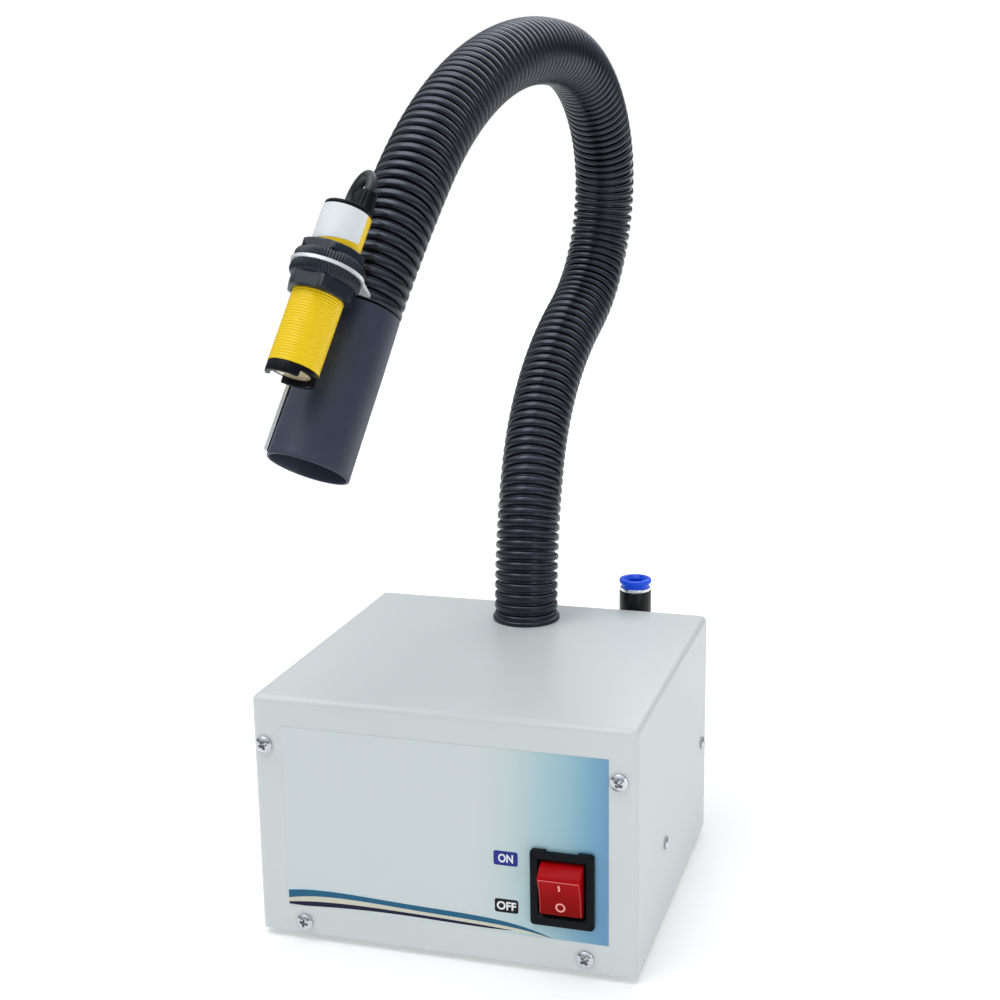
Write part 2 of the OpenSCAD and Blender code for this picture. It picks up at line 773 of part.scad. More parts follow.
module bracket_rivets() {
    color("silver") at_nozzle() for (z = [20, 44])
        translate([0, 0, plate_z + z]) rotate([0, 90, leg_sweep / 2]) {
            translate([0, 0, leg_r - 0.1]) cylinder(d = 2.5, h = plate_t + 0.2);
            translate([0, 0, leg_r + plate_t]) rotate_extrude() intersection() {
                translate([0, -1.6]) circle(r = 2.6);
                square([2.1, 1.2]);
            }
        }
}

module sensor_barrel() {
    color([0.93, 0.74, 0.05]) at_sensor() difference() {
        union() {
            translate([0, 0, sensor_thread])
                cylinder(d = sensor_d, h = sensor_face - sensor_thread);
            translate([0, 0, sensor_tail + 1.5])
                cylinder(d = sensor_d - 0.8, h = sensor_thread - sensor_tail - 1.4);
        }
        translate([0, 0, sensor_face - 3]) cylinder(d = 13.6, h = 5);
    }
}

module sensor_front_ring() {
    color([0.06, 0.06, 0.07]) at_sensor() translate([0, 0, sensor_face]) difference() {
        cylinder(d = 17.6, h = 4);
        translate([0, 0, -1]) cylinder(d = 13.6, h = 6);
        for (a = [45, 225]) rotate([0, 0, a]) translate([0, -4, 1.6]) cube([10, 8, 4]);
    }
}

module sensor_lens() {
    color([0.80, 0.72, 0.55]) at_sensor() translate([0, 0, sensor_face - 2.9])
        cylinder(d = 13.5, h = 5.2);
}

module sensor_tail_cap() {
    color([0.05, 0.05, 0.06]) at_sensor() translate([0, 0, sensor_tail]) difference() {
        cylinder(d = sensor_d - 1, h = 1.5);
        translate([4.5, 0, -1]) cylinder(d = trimmer_d + 2 * running, h = 1.9);
    }
}

module sensor_nuts() {
    color([0.07, 0.08, 0.10]) at_sensor() for (side = [-1, 1])
        translate([0, 0, side < 0 ? plate_z - slack : plate_z + plate_t + slack])
            mirror([0, 0, side < 0 ? 1 : 0]) difference() {
                union() {
                    cylinder(d = nut_flange_d, h = 4);
                    translate([0, 0, 4 - bite])
                        hex_prism(nut_hex, side < 0 ? 3 : 5.2);
                }
                translate([0, 0, -1]) cylinder(d = sensor_d + 2 * slack, h = 12);
            }
}

module sensor_trimmer() {
    color([0.85, 0.72, 0.40]) at_sensor() translate([4.5, 0, sensor_tail - 0.7])
        difference() {
            cylinder(d = trimmer_d, h = 1.5);
            translate([-2, -0.3, -1]) cube([4, 0.6, 1.5]);
        }
}

module sensor_cable_boot() {
    color([0.08, 0.08, 0.09]) at_sensor() translate([-boot_shift, 0, boot_top])
        difference() {
            cylinder(d1 = 6.4, d2 = 7.2, h = sensor_tail - boot_top);
            translate([0, 0, -1]) cylinder(d = cable_d + 2 * slack, h = 20);
        }
}

// The cable leaves the boot, loops back beside it and enters the conduit's side. Its
// two bends lie in different planes, and a pin joins them across a hairline groove.
module cable_run(d) {
    place = sensor_gap * [cos(sensor_side), sin(sensor_side)] - [boot_shift, 0];
    over = place + 2 * cable_bend * [cos(cable_turn), sin(cable_turn)];
    inwards = atan2(2 - over[1], -0.4 - over[0]);
    translate([place[0], place[1], boot_top]) rotate([0, 0, cable_turn]) {
        cylinder(d = d, h = sensor_tail - boot_top);
        translate([cable_bend, 0, 0]) rotate([-90, 0, 0])
            rotate_extrude(angle = 180) translate([cable_bend, 0]) circle(d = d);
        translate([2 * cable_bend, 0, 0]) cylinder(d = d - 2 * skin, h = 2, center = true);
    }
    translate([over[0], over[1], boot_top + 4 * groove]) rotate([0, 0, inwards]) {
        translate([cable_bend, 0, 0]) rotate([90, 0, 0]) rotate([0, 0, 90])
            rotate_extrude(angle = 90) translate([cable_bend, 0]) circle(d = d);
        translate([cable_bend, 0, cable_bend]) rotate([0, 90, 0])
            cylinder(d = d, h = cable_end);
    }
}

module sensor_cable() {
    color([0.07, 0.07, 0.08]) at_nozzle() cable_run(cable_d);
}

cover();
chassis();
front_label();
front_screws();
side_screws();
rubber_feet();
foot_screws();
switch_housing();
switch_terminals();
switch_rocker();
mains_inlet();
inlet_pins();
inlet_screws();
fuse_drawer();
fitting_stem();
fitting_nut();
fitting_elbow();
fitting_ring();
release_collar();
valve_body();
valve_coil();
valve_plunger();
valve_spring();
air_tubes();
high_voltage_module();
control_board();
board_standoffs();
wiring();
earth_stud();
arm_base_fitting();
arm_lock_nut();
conduit(0);  // conduit_0
conduit(1);  // conduit_1
conduit(2);  // conduit_2
conduit(3);  // conduit_3
conduit(4);  // conduit_4
conduit(5);  // conduit_5
conduit(6);  // conduit_6
gooseneck(0);  // gooseneck_0
gooseneck(1);  // gooseneck_1
gooseneck(2);  // gooseneck_2
gooseneck(3);  // gooseneck_3
gooseneck(4);  // gooseneck_4
gooseneck(5);  // gooseneck_5
gooseneck(6);  // gooseneck_6
nozzle_sleeve();
nozzle_tube();
needle_holder();
emitter_needle();
sensor_bracket();
bracket_rivets();
sensor_barrel();
sensor_front_ring();
sensor_lens();
sensor_tail_cap();
sensor_nuts();
sensor_cable_boot();
sensor_cable();
sensor_trimmer();
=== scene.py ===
import json
import math

import bmesh
import bpy
import numpy as np
from mathutils import Matrix, Vector


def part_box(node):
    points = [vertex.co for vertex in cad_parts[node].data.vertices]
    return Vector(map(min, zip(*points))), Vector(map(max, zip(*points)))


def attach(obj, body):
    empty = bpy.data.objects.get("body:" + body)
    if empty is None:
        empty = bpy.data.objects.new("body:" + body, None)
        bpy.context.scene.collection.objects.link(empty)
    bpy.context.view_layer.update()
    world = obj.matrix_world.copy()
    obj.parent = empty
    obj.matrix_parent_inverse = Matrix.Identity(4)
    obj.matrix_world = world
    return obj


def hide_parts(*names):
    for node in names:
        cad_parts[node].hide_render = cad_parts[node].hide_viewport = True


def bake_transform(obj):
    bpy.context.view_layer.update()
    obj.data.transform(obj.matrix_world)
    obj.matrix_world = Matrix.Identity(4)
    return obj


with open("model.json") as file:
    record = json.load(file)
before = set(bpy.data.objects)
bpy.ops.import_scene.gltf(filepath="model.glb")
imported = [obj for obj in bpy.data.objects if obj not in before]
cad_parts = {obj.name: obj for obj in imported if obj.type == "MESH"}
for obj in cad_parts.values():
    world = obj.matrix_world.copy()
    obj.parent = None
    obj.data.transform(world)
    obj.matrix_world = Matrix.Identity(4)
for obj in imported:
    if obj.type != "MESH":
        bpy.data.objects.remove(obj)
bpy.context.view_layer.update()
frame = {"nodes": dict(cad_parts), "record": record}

# Shapes are worked out in millimetres, and mesh_object turns them into metres.
MM = 0.001


def corners_mm(node):
    low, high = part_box(node)
    return low / MM, high / MM


# ---------------- places from the frame

case_low, case_high = corners_mm("cover")
FRONT = case_low.y
BACK = corners_mm("chassis")[1].y
ROOF = case_high.z
FLOOR = case_low.z
HALF_W = case_high.x
label_low, label_high = corners_mm("front_label")
bezel_low, bezel_high = corners_mm("switch_housing")
SWITCH_X = (bezel_low.x + bezel_high.x) / 2
SWITCH_Z = (bezel_low.z + bezel_high.z) / 2

# Route of the arm: each arc has its length, its bend and the turn of its plane
ARCS = [(69, 36.5, 0), (89, 25.5, -31), (95, -93, 26), (75, -51.5, -2),
        (79, -25.5, 4), (67, -20, 8), (63, -20.5, -29)]
ARM_TURN = 6
ARM_FOOT = Vector((0, 50, ROOF))
BODIES = ["case", "arm_1", "arm_2", "arm_3", "arm_4", "arm_5", "nozzle"]


class Frame:
    """A point on the arm, the direction along it and the normal of its bend."""

    def __init__(self, place, along, normal, twist=0.0):
        self.place, self.along, self.normal, self.twist = place, along, normal, twist

    def turned(self, degrees):
        r = math.radians(degrees)
        side = self.along.cross(self.normal)
        normal = self.normal * math.cos(r) + side * math.sin(r)
        return Frame(self.place, self.along, normal, self.twist - r)

    def moved(self, length, degrees):
        if length == 0:
            return self
        a = math.radians(degrees)
        r = length / a
        place = self.place + self.along * r * math.sin(a) + self.normal * r * (1 - math.cos(a))
        along = self.along * math.cos(a) + self.normal * math.sin(a)
        normal = self.normal * math.cos(a) - self.along * math.sin(a)
        return Frame(place, along, normal, self.twist)

    def ring(self, radius, count):
        side = self.along.cross(self.normal)
        angles = [2 * math.pi * i / count + self.twist for i in range(count)]
        return [self.place + radius * (math.cos(a) * self.normal + math.sin(a) * side)
                for a in angles]


def arm_frames():
    turn = math.radians(ARM_TURN)
    here = Frame(ARM_FOOT, Vector((0, 0, 1)), Vector((-math.sin(turn), math.cos(turn), 0)))
    starts = []
    for length, bend, twist in ARCS:
        here = here.turned(twist)
        starts.append(here)
        here = here.moved(length, bend)
    return starts, here


arc_starts, arm_end = arm_frames()

# Nozzle frame: x is the side of the bracket's leg, z points out of the mouth
LEG_TURN = 79
SENSOR_SIDE = 21 - LEG_TURN
SENSOR_GAP = 29
nozzle_x = arm_end.turned(LEG_TURN).normal
nozzle_place = Matrix.Translation(arm_end.place) @ Matrix(
    (nozzle_x, arm_end.along.cross(nozzle_x), arm_end.along)).transposed().to_4x4()
sensor_angle = math.radians(SENSOR_SIDE)
sensor_offset = Vector((SENSOR_GAP * math.cos(sensor_angle), SENSOR_GAP * math.sin(sensor_angle), 0))
sensor_place = nozzle_place @ Matrix.Translation(sensor_offset)


# ---------------- materials

def linear(r, g, b, gain=1.0):
    """A display colour, 0 to 255, as linear light."""
    values = [c / 255 for c in (r, g, b)]
    light = [c / 12.92 if c <= 0.04045 else ((c + 0.055) / 1.055) ** 2.4 for c in values]
    return tuple(min(1.0, gain * c) for c in light) + (1.0,)


class Tree:
    """Short words for building a material's nodes."""

    def __init__(self, name):
        self.material = bpy.data.materials.new(name)
        self.material.use_nodes = True
        self.nodes = self.material.node_tree.nodes
        self.shader = self.nodes["Principled BSDF"]
        self.place = self.add("ShaderNodeTexCoord").outputs["Object"]

    def add(self, kind, **values):
        node = self.nodes.new(kind)
        for name, value in values.items():
            setattr(node, name, value)
        return node

    def link(self, source, target):
        self.material.node_tree.links.new(source, target)

    def feed(self, socket, value):
        if isinstance(value, bpy.types.NodeSocket):
            self.link(value, socket)
        else:
            socket.default_value = value

    def noise(self, size_mm, detail=3.0, stretch=None, rough=0.5):
        """Noise whose features are about size_mm across; stretch scales x, y and z."""
        node = self.add("ShaderNodeTexNoise")
        node.inputs["Scale"].default_value = 1 / (size_mm * MM)
        node.inputs["Detail"].default_value = detail
        node.inputs["Roughness"].default_value = rough
        place = self.place
        if stretch:
            mapping = self.add("ShaderNodeMapping")
            mapping.inputs["Scale"].default_value = stretch
            self.link(place, mapping.inputs["Vector"])
            place = mapping.outputs["Vector"]
        self.link(place, node.inputs["Vector"])
        return node.outputs["Fac"]

    def remap(self, value, low, high, to_low, to_high):
        node = self.add("ShaderNodeMapRange")
        self.link(value, node.inputs["Value"])
        for name, number in zip(("From Min", "From Max", "To Min", "To Max"),
                                (low, high, to_low, to_high)):
            node.inputs[name].default_value = number
        return node.outputs["Result"]

    def mix(self, share, a, b, blend="MIX"):
        node = self.add("ShaderNodeMix", data_type="RGBA", blend_type=blend)
        self.feed(node.inputs[0], share)
        self.feed(node.inputs[6], a)
        self.feed(node.inputs[7], b)
        return node.outputs[2]

    def math(self, operation, a, b=0.0):
        node = self.add("ShaderNodeMath", operation=operation)
        self.feed(node.inputs[0], a)
        self.feed(node.inputs[1], b)
        return node.outputs[0]

    def axis(self, name):
        node = self.add("ShaderNodeSeparateXYZ")
        self.link(self.place, node.inputs[0])
        return node.outputs[name]

    def source(self, name):
        """What feeds one of the shader's sockets."""
        return self.shader.inputs[name].links[0].from_socket

    def bump(self, height, strength, depth_mm, under=None):
        node = self.add("ShaderNodeBump")
        node.inputs["Strength"].default_value = strength
        node.inputs["Distance"].default_value = depth_mm * MM
        self.link(height, node.inputs["Height"])
        if under is not None:
            self.link(under, node.inputs["Normal"])
        return node.outputs["Normal"]

    def set(self, **values):
        for name, value in values.items():
            self.feed(self.shader.inputs[name.replace("_", " ")], value)
        return self


def finish(name, colour, roughness, grain=(0.5, 0.1), mottle=(14, 0.07), spread=0.07,
           metallic=0.0, brush=None, coat=0.0, specular=0.5):
    """A surface whose colour and gloss drift a little, with a fine grain in its height.

    grain is its size and depth in mm, mottle the size in mm and the share of the colour's
    drift, and brush the stretch of a brushed or drawn metal's lines."""
    tree = Tree(name)
    drift = tree.noise(mottle[0], 4.0)
    dark = tuple(c * (1 - mottle[1]) for c in colour[:3]) + (1.0,)
    light = tuple(min(1.0, c * (1 + mottle[1])) for c in colour[:3]) + (1.0,)
    smear = tree.noise(mottle[0] * 0.35, 5.0, rough=0.65)
    grains = tree.noise(grain[0], 2.0, brush)
    tree.set(Base_Color=tree.mix(drift, dark, light),
             Roughness=tree.remap(smear, 0.1, 0.9, roughness - spread, roughness + spread),
             Normal=tree.bump(grains, 0.6, grain[1]),
             Metallic=metallic, Coat_Weight=coat, Specular_IOR_Level=specular)
    return tree


PAINT_GAIN = 1.11
FILM_GAIN = 1.085
PAINT = linear(203, 209, 210, PAINT_GAIN)


def painted_sheet():
    tree = finish("painted_sheet", PAINT, 0.34, grain=(0.9, 0.012), mottle=(45, 0.022), spread=0.04)
    dust = tree.remap(tree.noise(0.35, 2.0), 0.70, 0.74, 0.0, 1.0)
    speck = tuple(c * 0.93 for c in PAINT[:3]) + (1.0,)
    return tree.set(Base_Color=tree.mix(dust, tree.source("Base Color"), speck)).material


def printed_film():
    """The front label: clear at the left, a blue wash that deepens to the right."""
    tree = Tree("printed_film")
    place = tree.remap(tree.axis("X"), label_low.x * MM, label_high.x * MM, 0.0, 1.0)
    height = tree.remap(tree.axis("Z"), label_low.z * MM, label_high.z * MM, 0.0, 1.0)
    lean = tree.math("MULTIPLY", tree.math("SUBTRACT", height, 0.5), 0.035)
    ramp = tree.add("ShaderNodeValToRGB")
    tree.link(tree.math("SUBTRACT", place, lean), ramp.inputs["Fac"])
    wash = [(0.0, (203, 211, 212)), (0.60, (203, 211, 212)), (0.69, (192, 207, 208)),
            (0.80, (159, 194, 201)), (0.865, (143, 183, 197)), (0.94, (107, 162, 190)),
            (1.0, (85, 143, 183))]
    while len(ramp.color_ramp.elements) < len(wash):
        ramp.color_ramp.elements.new(0.5)
    for element, (position, colour) in zip(ramp.color_ramp.elements, wash):
        element.position = position
        element.color = linear(*colour, FILM_GAIN)
    screen = tree.noise(0.16, 1.0)
    drift = tree.noise(30, 3.0)
    inked = tree.mix(tree.remap(drift, 0.0, 1.0, 0.0, 0.05), ramp.outputs["Color"],
                     linear(225, 235, 240))
    tree.set(Base_Color=inked, Roughness=tree.remap(drift, 0.0, 1.0, 0.17, 0.25),
             Normal=tree.bump(screen, 0.3, 0.004), Coat_Weight=0.25, Coat_Roughness=0.12)
    return tree.material


def ink(name, colour):
    return finish(name, colour, 0.30, grain=(0.16, 0.004), mottle=(6, 0.05), specular=0.2).material


def rocker_plastic():
    tree = finish("rocker_plastic", linear(178, 8, 18), 0.24, grain=(0.7, 0.008),
                  mottle=(5, 0.14), spread=0.05, specular=0.06)
    # Painted shade: the red darkens towards the rocker's lower end, standing in for the shade on its
    # lower face.
    height = tree.remap(tree.axis("Z"), (SWITCH_Z - 9) * MM, (SWITCH_Z + 9) * MM, 0.0, 1.0)
    shaded_low_red = linear(132, 12, 8)
    return tree.set(Base_Color=tree.mix(height, shaded_low_red, tree.source("Base Color"))).material


def corrugated_nylon():
    tree = finish("corrugated_nylon", linear(11, 11, 15), 0.30, grain=(0.45, 0.02),
                  mottle=(9, 0.25), spread=0.08, specular=0.60)
    tree.set(Specular_Tint=(0.76, 0.81, 1.0, 1.0))
    scuffs = tree.noise(1.2, 4.0, (1.0, 1.0, 0.25), rough=0.7)
    worn = tree.mix(tree.remap(scuffs, 0.62, 0.80, 0.0, 0.3), tree.source("Base Color"),
                    linear(44, 47, 56))
    return tree.set(Base_Color=worn).material


def heat_shrink():
    tree = finish("heat_shrink", linear(50, 58, 75), 0.42, grain=(0.6, 0.03),
                  mottle=(11, 0.14), spread=0.10, specular=0.4)
    pull = tree.noise(2.6, 3.0, (1.0, 1.0, 0.3))
    return tree.set(Normal=tree.bump(pull, 0.35, 0.12, under=tree.source("Normal"))).material


def silver_wrap():
    return finish("silver_wrap", linear(236, 242, 245), 0.42, (0.3, 0.008), (4, 0.04)).material


def brushed_metal(name, colour, roughness, lines=(0.35, 1.0, 6.0), size=0.5):
    tree = finish(name, colour, roughness, grain=(size, 0.012), mottle=(8, 0.06),
                  metallic=1.0, brush=lines)
    streaks = tree.noise(size * 2.5, 4.0, lines)
    return tree.set(Roughness=tree.remap(streaks, 0.3, 0.7, roughness - 0.08,
                                         roughness + 0.10)).material


def circuit_board():
    """Green lacquer with lighter tracks on a square grid."""
    tree = finish("circuit_board", linear(22, 98, 58), 0.30, grain=(0.8, 0.02), coat=0.3)
    bricks = tree.add("ShaderNodeTexBrick")
    tree.link(tree.place, bricks.inputs["Vector"])
    bricks.inputs["Scale"].default_value = 1 / (6 * MM)
    bricks.inputs["Mortar Size"].default_value = 0.06
    tracks = tree.mix(bricks.outputs["Fac"], tree.source("Base Color"), linear(70, 150, 96))
    return tree.set(Base_Color=tracks).material


def sensor_lens_plastic():
    tree = finish("lens_amber", linear(214, 196, 160), 0.22, grain=(0.5, 0.01),
                  mottle=(2, 0.10), coat=0.5)
    return tree.set(Transmission_Weight=0.25, Subsurface_Weight=0.4,
                    Subsurface_Radius=(0.003, 0.002, 0.001),
                    Subsurface_Scale=1.0).material


def bracket_sheet():
    """Bright zinc, a little matt: it shows as an even strip beside the sleeve."""
    return finish("bracket_sheet", linear(226, 229, 232), 0.38, grain=(1.4, 0.004),
                  mottle=(20, 0.03), spread=0.03, metallic=0.35).material


MATERIALS = {
    "case_paint": painted_sheet(),
    "label_film": printed_film(),
    "zinc_sheet": brushed_metal("zinc_sheet", linear(196, 199, 202), 0.34),
    "screw_steel": brushed_metal("screw_steel", linear(204, 206, 209), 0.20, (1, 1, 1), 0.4),
    "bright_steel": brushed_metal("bright_steel", linear(228, 230, 233), 0.24),
    "contact_metal": brushed_metal("contact_metal", linear(214, 210, 196), 0.28),
    "brass": brushed_metal("brass", linear(214, 180, 98), 0.26),
    "rocker_red": rocker_plastic(),
    "board_green": circuit_board(),
    "conduit_black": corrugated_nylon(),
    "shrink_sleeve": heat_shrink(),
    "lens_amber": sensor_lens_plastic(),
}
# Plain plastics and rubber: colour, roughness, grain, mottle and what else differs
PLAIN = {
    "black_rubber": ((26, 26, 27), 0.78, (0.4, 0.05), (6, 0.2), {}),
    "black_plastic": ((9, 12, 18), 0.34, (0.35, 0.02), (9, 0.2), {"specular": 0.12}),
    "fitting_black": ((10, 10, 11), 0.30, (0.5, 0.02), (7, 0.2), {"specular": 0.3}),
    "collar_blue": ((2, 86, 255), 0.26, (0.5, 0.015), (5, 0.1), {"specular": 0.35}),
    "air_tube_blue": ((36, 92, 190), 0.25, (0.6, 0.02), (8, 0.1), {"coat": 0.3}),
    "potting_black": ((24, 24, 27), 0.42, (2.0, 0.08), (12, 0.2), {}),
    "wire_sheath": ((120, 66, 34), 0.38, (0.5, 0.02), (7, 0.1), {}),
    "cable_sheath": ((24, 24, 26), 0.44, (0.35, 0.03), (6, 0.2), {}),
    "holder_white": ((226, 225, 218), 0.40, (0.5, 0.02), (6, 0.04), {}),
    "sensor_yellow": ((252, 212, 0), 0.34, (0.4, 0.010), (6, 0.05), {"specular": 0.35}),
    "nut_black": ((18, 27, 40), 0.38, (0.4, 0.02), (5, 0.2), {"specular": 0.4}),
}
for name, (rgb, roughness, grain, mottle, more) in PLAIN.items():
    MATERIALS[name] = finish(name, linear(*rgb), roughness, grain, mottle, **more).material
# The edge inks, bright and dim, are painted highlights along the rocker's ridge and sides; the rest are
# print and marks.
INKS = {name: ink("ink_" + name, linear(*rgb)) for name, rgb in (
    ("teal", (34, 98, 132)), ("cream", (212, 210, 194)), ("navy", (20, 22, 56)),
    ("glow", (196, 222, 232)), ("on", (40, 50, 138)), ("off", (16, 17, 20)),
    ("white", (238, 240, 244)), ("rose", (255, 178, 172)), ("edge", (226, 120, 124)),
    ("edge_highlight_dim", (184, 62, 60)))}


# ---------------- mesh making

WELD = 1e-7


def linked(name, data):
    """A new object in the scene for a mesh, lamp, camera or text."""
    obj = bpy.data.objects.new(name, data)
    bpy.context.scene.collection.objects.link(obj)
    return obj


def mesh_object(name, points, faces, place=None):
    """An object from points in mm; place moves them from their own frame to the row frame."""
    if place is not None:
        points = [place @ Vector(p) for p in points]
    mesh = bpy.data.meshes.new(name)
    mesh.from_pydata([Vector(p) * MM for p in points], [], faces)
    bm = bmesh.new()
    bm.from_mesh(mesh)
    bmesh.ops.remove_doubles(bm, verts=bm.verts, dist=WELD)
    bmesh.ops.recalc_face_normals(bm, faces=bm.faces)
    bm.to_mesh(mesh)
    bm.free()
    return linked(name, mesh)


def fit_out(obj, body, slot, sharp=35, ink_name=None, replaces=()):
    """Gives a piece its shading, its material and the CAD body that it rides on."""
    obj.data.polygons.foreach_set("use_smooth", [True] * len(obj.data.polygons))
    obj.data.set_sharp_from_angle(angle=math.radians(sharp))
    obj.data.materials.clear()
    obj.data.materials.append(INKS[ink_name] if ink_name else MATERIALS[slot])
    if replaces:
        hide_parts(*replaces)
    if body:
        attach(obj, body)
    return obj


def skin(rings, closed=False):
    """Points and faces of a surface through rings; closed joins the last to the first."""
    count = len(rings[0])
    points = [p for ring in rings for p in ring]
    faces = []
    for i in range(len(rings) if closed else len(rings) - 1):
        a, b = i * count, (i + 1) % len(rings) * count
        for j in range(count):
            k = (j + 1) % count
            faces.append((a + j, a + k, b + k, b + j))
    if not closed:
        faces.append(tuple(reversed(range(count))))
        faces.append(tuple(range(len(points) - count, len(points))))
    return points, faces


def rounded(outline, steps=4, closed=True):
    """An outline whose points are (x, y, radius): each corner becomes an arc."""
    made = []
    count = len(outline)
    for i, (x, y, radius) in enumerate(outline):
        here = Vector((x, y))
        if radius <= 0 or (not closed and i in (0, count - 1)):
            made.append((x, y))
            continue
        before = (Vector(outline[i - 1][:2]) - here).normalized()
        after = (Vector(outline[(i + 1) % count][:2]) - here).normalized()
        half = before.angle(after) / 2
        middle = here + (before + after).normalized() * radius / math.sin(half)
        start = here + before * radius / math.tan(half) - middle
        sweep = math.pi - 2 * half
        if before.x * after.y - before.y * after.x > 0:
            sweep = -sweep
        for s in range(steps + 1):
            a = sweep * s / steps
            turn = Matrix(((math.cos(a), -math.sin(a)), (math.sin(a), math.cos(a))))
            made.append(tuple(middle + turn @ start))
    return made


def round_ring(radius, z, count):
    """Points round the z axis; radius is a number or a function of the angle."""
    ring = []
    for i in range(count):
        a = 2 * math.pi * i / count
        r = radius(a) if callable(radius) else radius
        ring.append((r * math.cos(a), r * math.sin(a), z))
    return ring


def lathe(name, profile, place, segments=64, wobble=None):
    """Turned solid about z from a closed outline of (radius, z); wobble(angle, r, z) bends r."""
    rings = [round_ring((lambda a: wobble(a, r, z)) if wobble else r, z, segments)
             for r, z in profile]
    return mesh_object(name, *skin(rings, closed=True), place)


def rectangle(x0, y0, x1, y1, edge=0.0, steps=3):
    return rounded([(x0, y0, edge), (x1, y0, edge), (x1, y1, edge), (x0, y1, edge)], steps)


def bushing(outer_r, inner_r, z0, z1, edge=0.3):
    """Outline of a ring or tube with rounded edges."""
    return rectangle(inner_r, z0, outer_r, z1, edge)


def spun_disc(outer_r, z0, z1, edge=0.3, tip=0.01):
    """Outline of a full disc, with a pin hole too fine to see at its middle."""
    return rounded([(tip, z0, 0), (outer_r, z0, edge), (outer_r, z1, edge), (tip, z1, 0)], 3)


def slab(name, outline, depth, place, edge=0.0, segments=2):
    """A flat outline in x and y, made solid from z 0 to depth, its edges rounded."""
    rings = [[(x, y, z) for x, y in outline] for z in (0, depth)]
    points, faces = skin(rings)
    obj = mesh_object(name, points, faces, place)
    if edge:
        soften(obj, edge, segments)
    return obj


def block(name, low, high, edge=0.0, segments=2):
    return slab(name, rectangle(low[0], low[1], high[0], high[1]), high[2] - low[2],
                Matrix.Translation((0, 0, low[2])), edge, segments)


# Stands a shape drawn in x and y up in x and z, its depth towards the viewer
UPRIGHT = Matrix.Rotation(math.pi / 2, 4, "X")


def soften(obj, edge, segments=2, angle=30):
    """Rounds every edge that is sharper than the angle."""
    bm = bmesh.new()
    bm.from_mesh(obj.data)
    sharp = [e for e in bm.edges if len(e.link_faces) == 2
             and e.calc_face_angle(0) > math.radians(angle)]
    bmesh.ops.bevel(bm, geom=sharp, offset=edge * MM, offset_type="OFFSET",
                    segments=segments, profile=0.5, affect="EDGES", clamp_overlap=True)
    bmesh.ops.recalc_face_normals(bm, faces=bm.faces)
    bm.to_mesh(obj.data)
    bm.free()
    return obj


def carve(obj, tools, operation="DIFFERENCE"):
    """Cuts the tools out of obj, or joins them to it, and removes them."""
    for tool in tools:
        modifier = obj.modifiers.new("carve", "BOOLEAN")
        modifier.operation, modifier.object, modifier.solver = operation, tool, "EXACT"
    settle(obj)
    for tool in tools:
        bpy.data.objects.remove(tool)
    return obj


def settle(obj):
    """Turns obj's modifiers into its mesh."""
    mesh = evaluated(obj)
    obj.modifiers.clear()
    obj.data = mesh
    return obj


def evaluated(obj):
    """A mesh of what obj shows, its modifiers or its text included."""
    bpy.context.view_layer.update()
    graph = bpy.context.evaluated_depsgraph_get()
    return bpy.data.meshes.new_from_object(obj.evaluated_get(graph))


def looking(direction, place):
    """A place whose z axis points in a direction."""
    return Matrix.Translation(place) @ Vector(direction).to_track_quat("Z", "Y").to_matrix().to_4x4()


def join(name, objects):
    """One object from several, in their order."""
    bm = bmesh.new()
    for obj in objects:
        bm.from_mesh(obj.data)
    mesh = bpy.data.meshes.new(name)
    bm.to_mesh(mesh)
    bm.free()
    for obj in objects:
        bpy.data.objects.remove(obj)
    return linked(name, mesh)


# ---------------- camera

CAMERA_PLACE = Vector((0.1934, -0.6162, 0.3213))
CAMERA_TURN = 17.09
CAMERA_HEIGHT_ANGLE = 13.41
CAMERA_ROLL = -0.89
CAMERA_LENS = 58.72


def add_camera():
    data = bpy.data.cameras.new("camera")
    data.lens, data.sensor_width = CAMERA_LENS, 36
    data.clip_start, data.clip_end = 0.01, 20
    camera = linked("camera", data)
    turn, height = math.radians(CAMERA_TURN), math.radians(CAMERA_HEIGHT_ANGLE)
    back = Vector((math.sin(turn) * math.cos(height), -math.cos(turn) * math.cos(height),
                   math.sin(height)))
    right = Vector((math.cos(turn), math.sin(turn), 0))
    axes = Matrix((right, back.cross(right), back)).transposed()
    axes = axes @ Matrix.Rotation(math.radians(CAMERA_ROLL), 3, "Z")
    camera.matrix_world = Matrix.Translation(CAMERA_PLACE) @ axes.to_4x4()
    bpy.context.scene.camera = camera


# ---------------- case

def case_shell():
    """The cover: top, front and sides folded from one sheet, open behind and below."""
    sheet, bend = 1.2, 3.0
    low = (-HALF_W, FRONT, FLOOR - 12)
    high = (HALF_W, BACK + 12, ROOF)
    outer = block("case_cover", low, high, bend, 6)
    gap = Vector((sheet, sheet, sheet))
    inner = block("inner", Vector(low) + Vector((sheet, sheet, -6)),
                  Vector(high) - gap + Vector((0, 20, 0)), bend - sheet, 6)
    below = block("below", (-99, -99, FLOOR - 30), (99, 99, FLOOR))
    behind = block("behind", (-99, BACK, FLOOR - 40), (99, BACK + 60, ROOF + 30))
    window = block("window", (SWITCH_X - 11, FRONT - 5, SWITCH_Z - 14.3),
                   (SWITCH_X + 11, FRONT + 5, SWITCH_Z + 14.3))
    hole = lathe("hole", spun_disc(10.1, ROOF - 5, ROOF + 5, 0), Matrix.Translation((0, ARM_FOOT.y, 0)))
    carve(outer, [inner, below, behind, window, hole])
    fit_out(outer, "case", "case_paint", 30, replaces=["cover"])


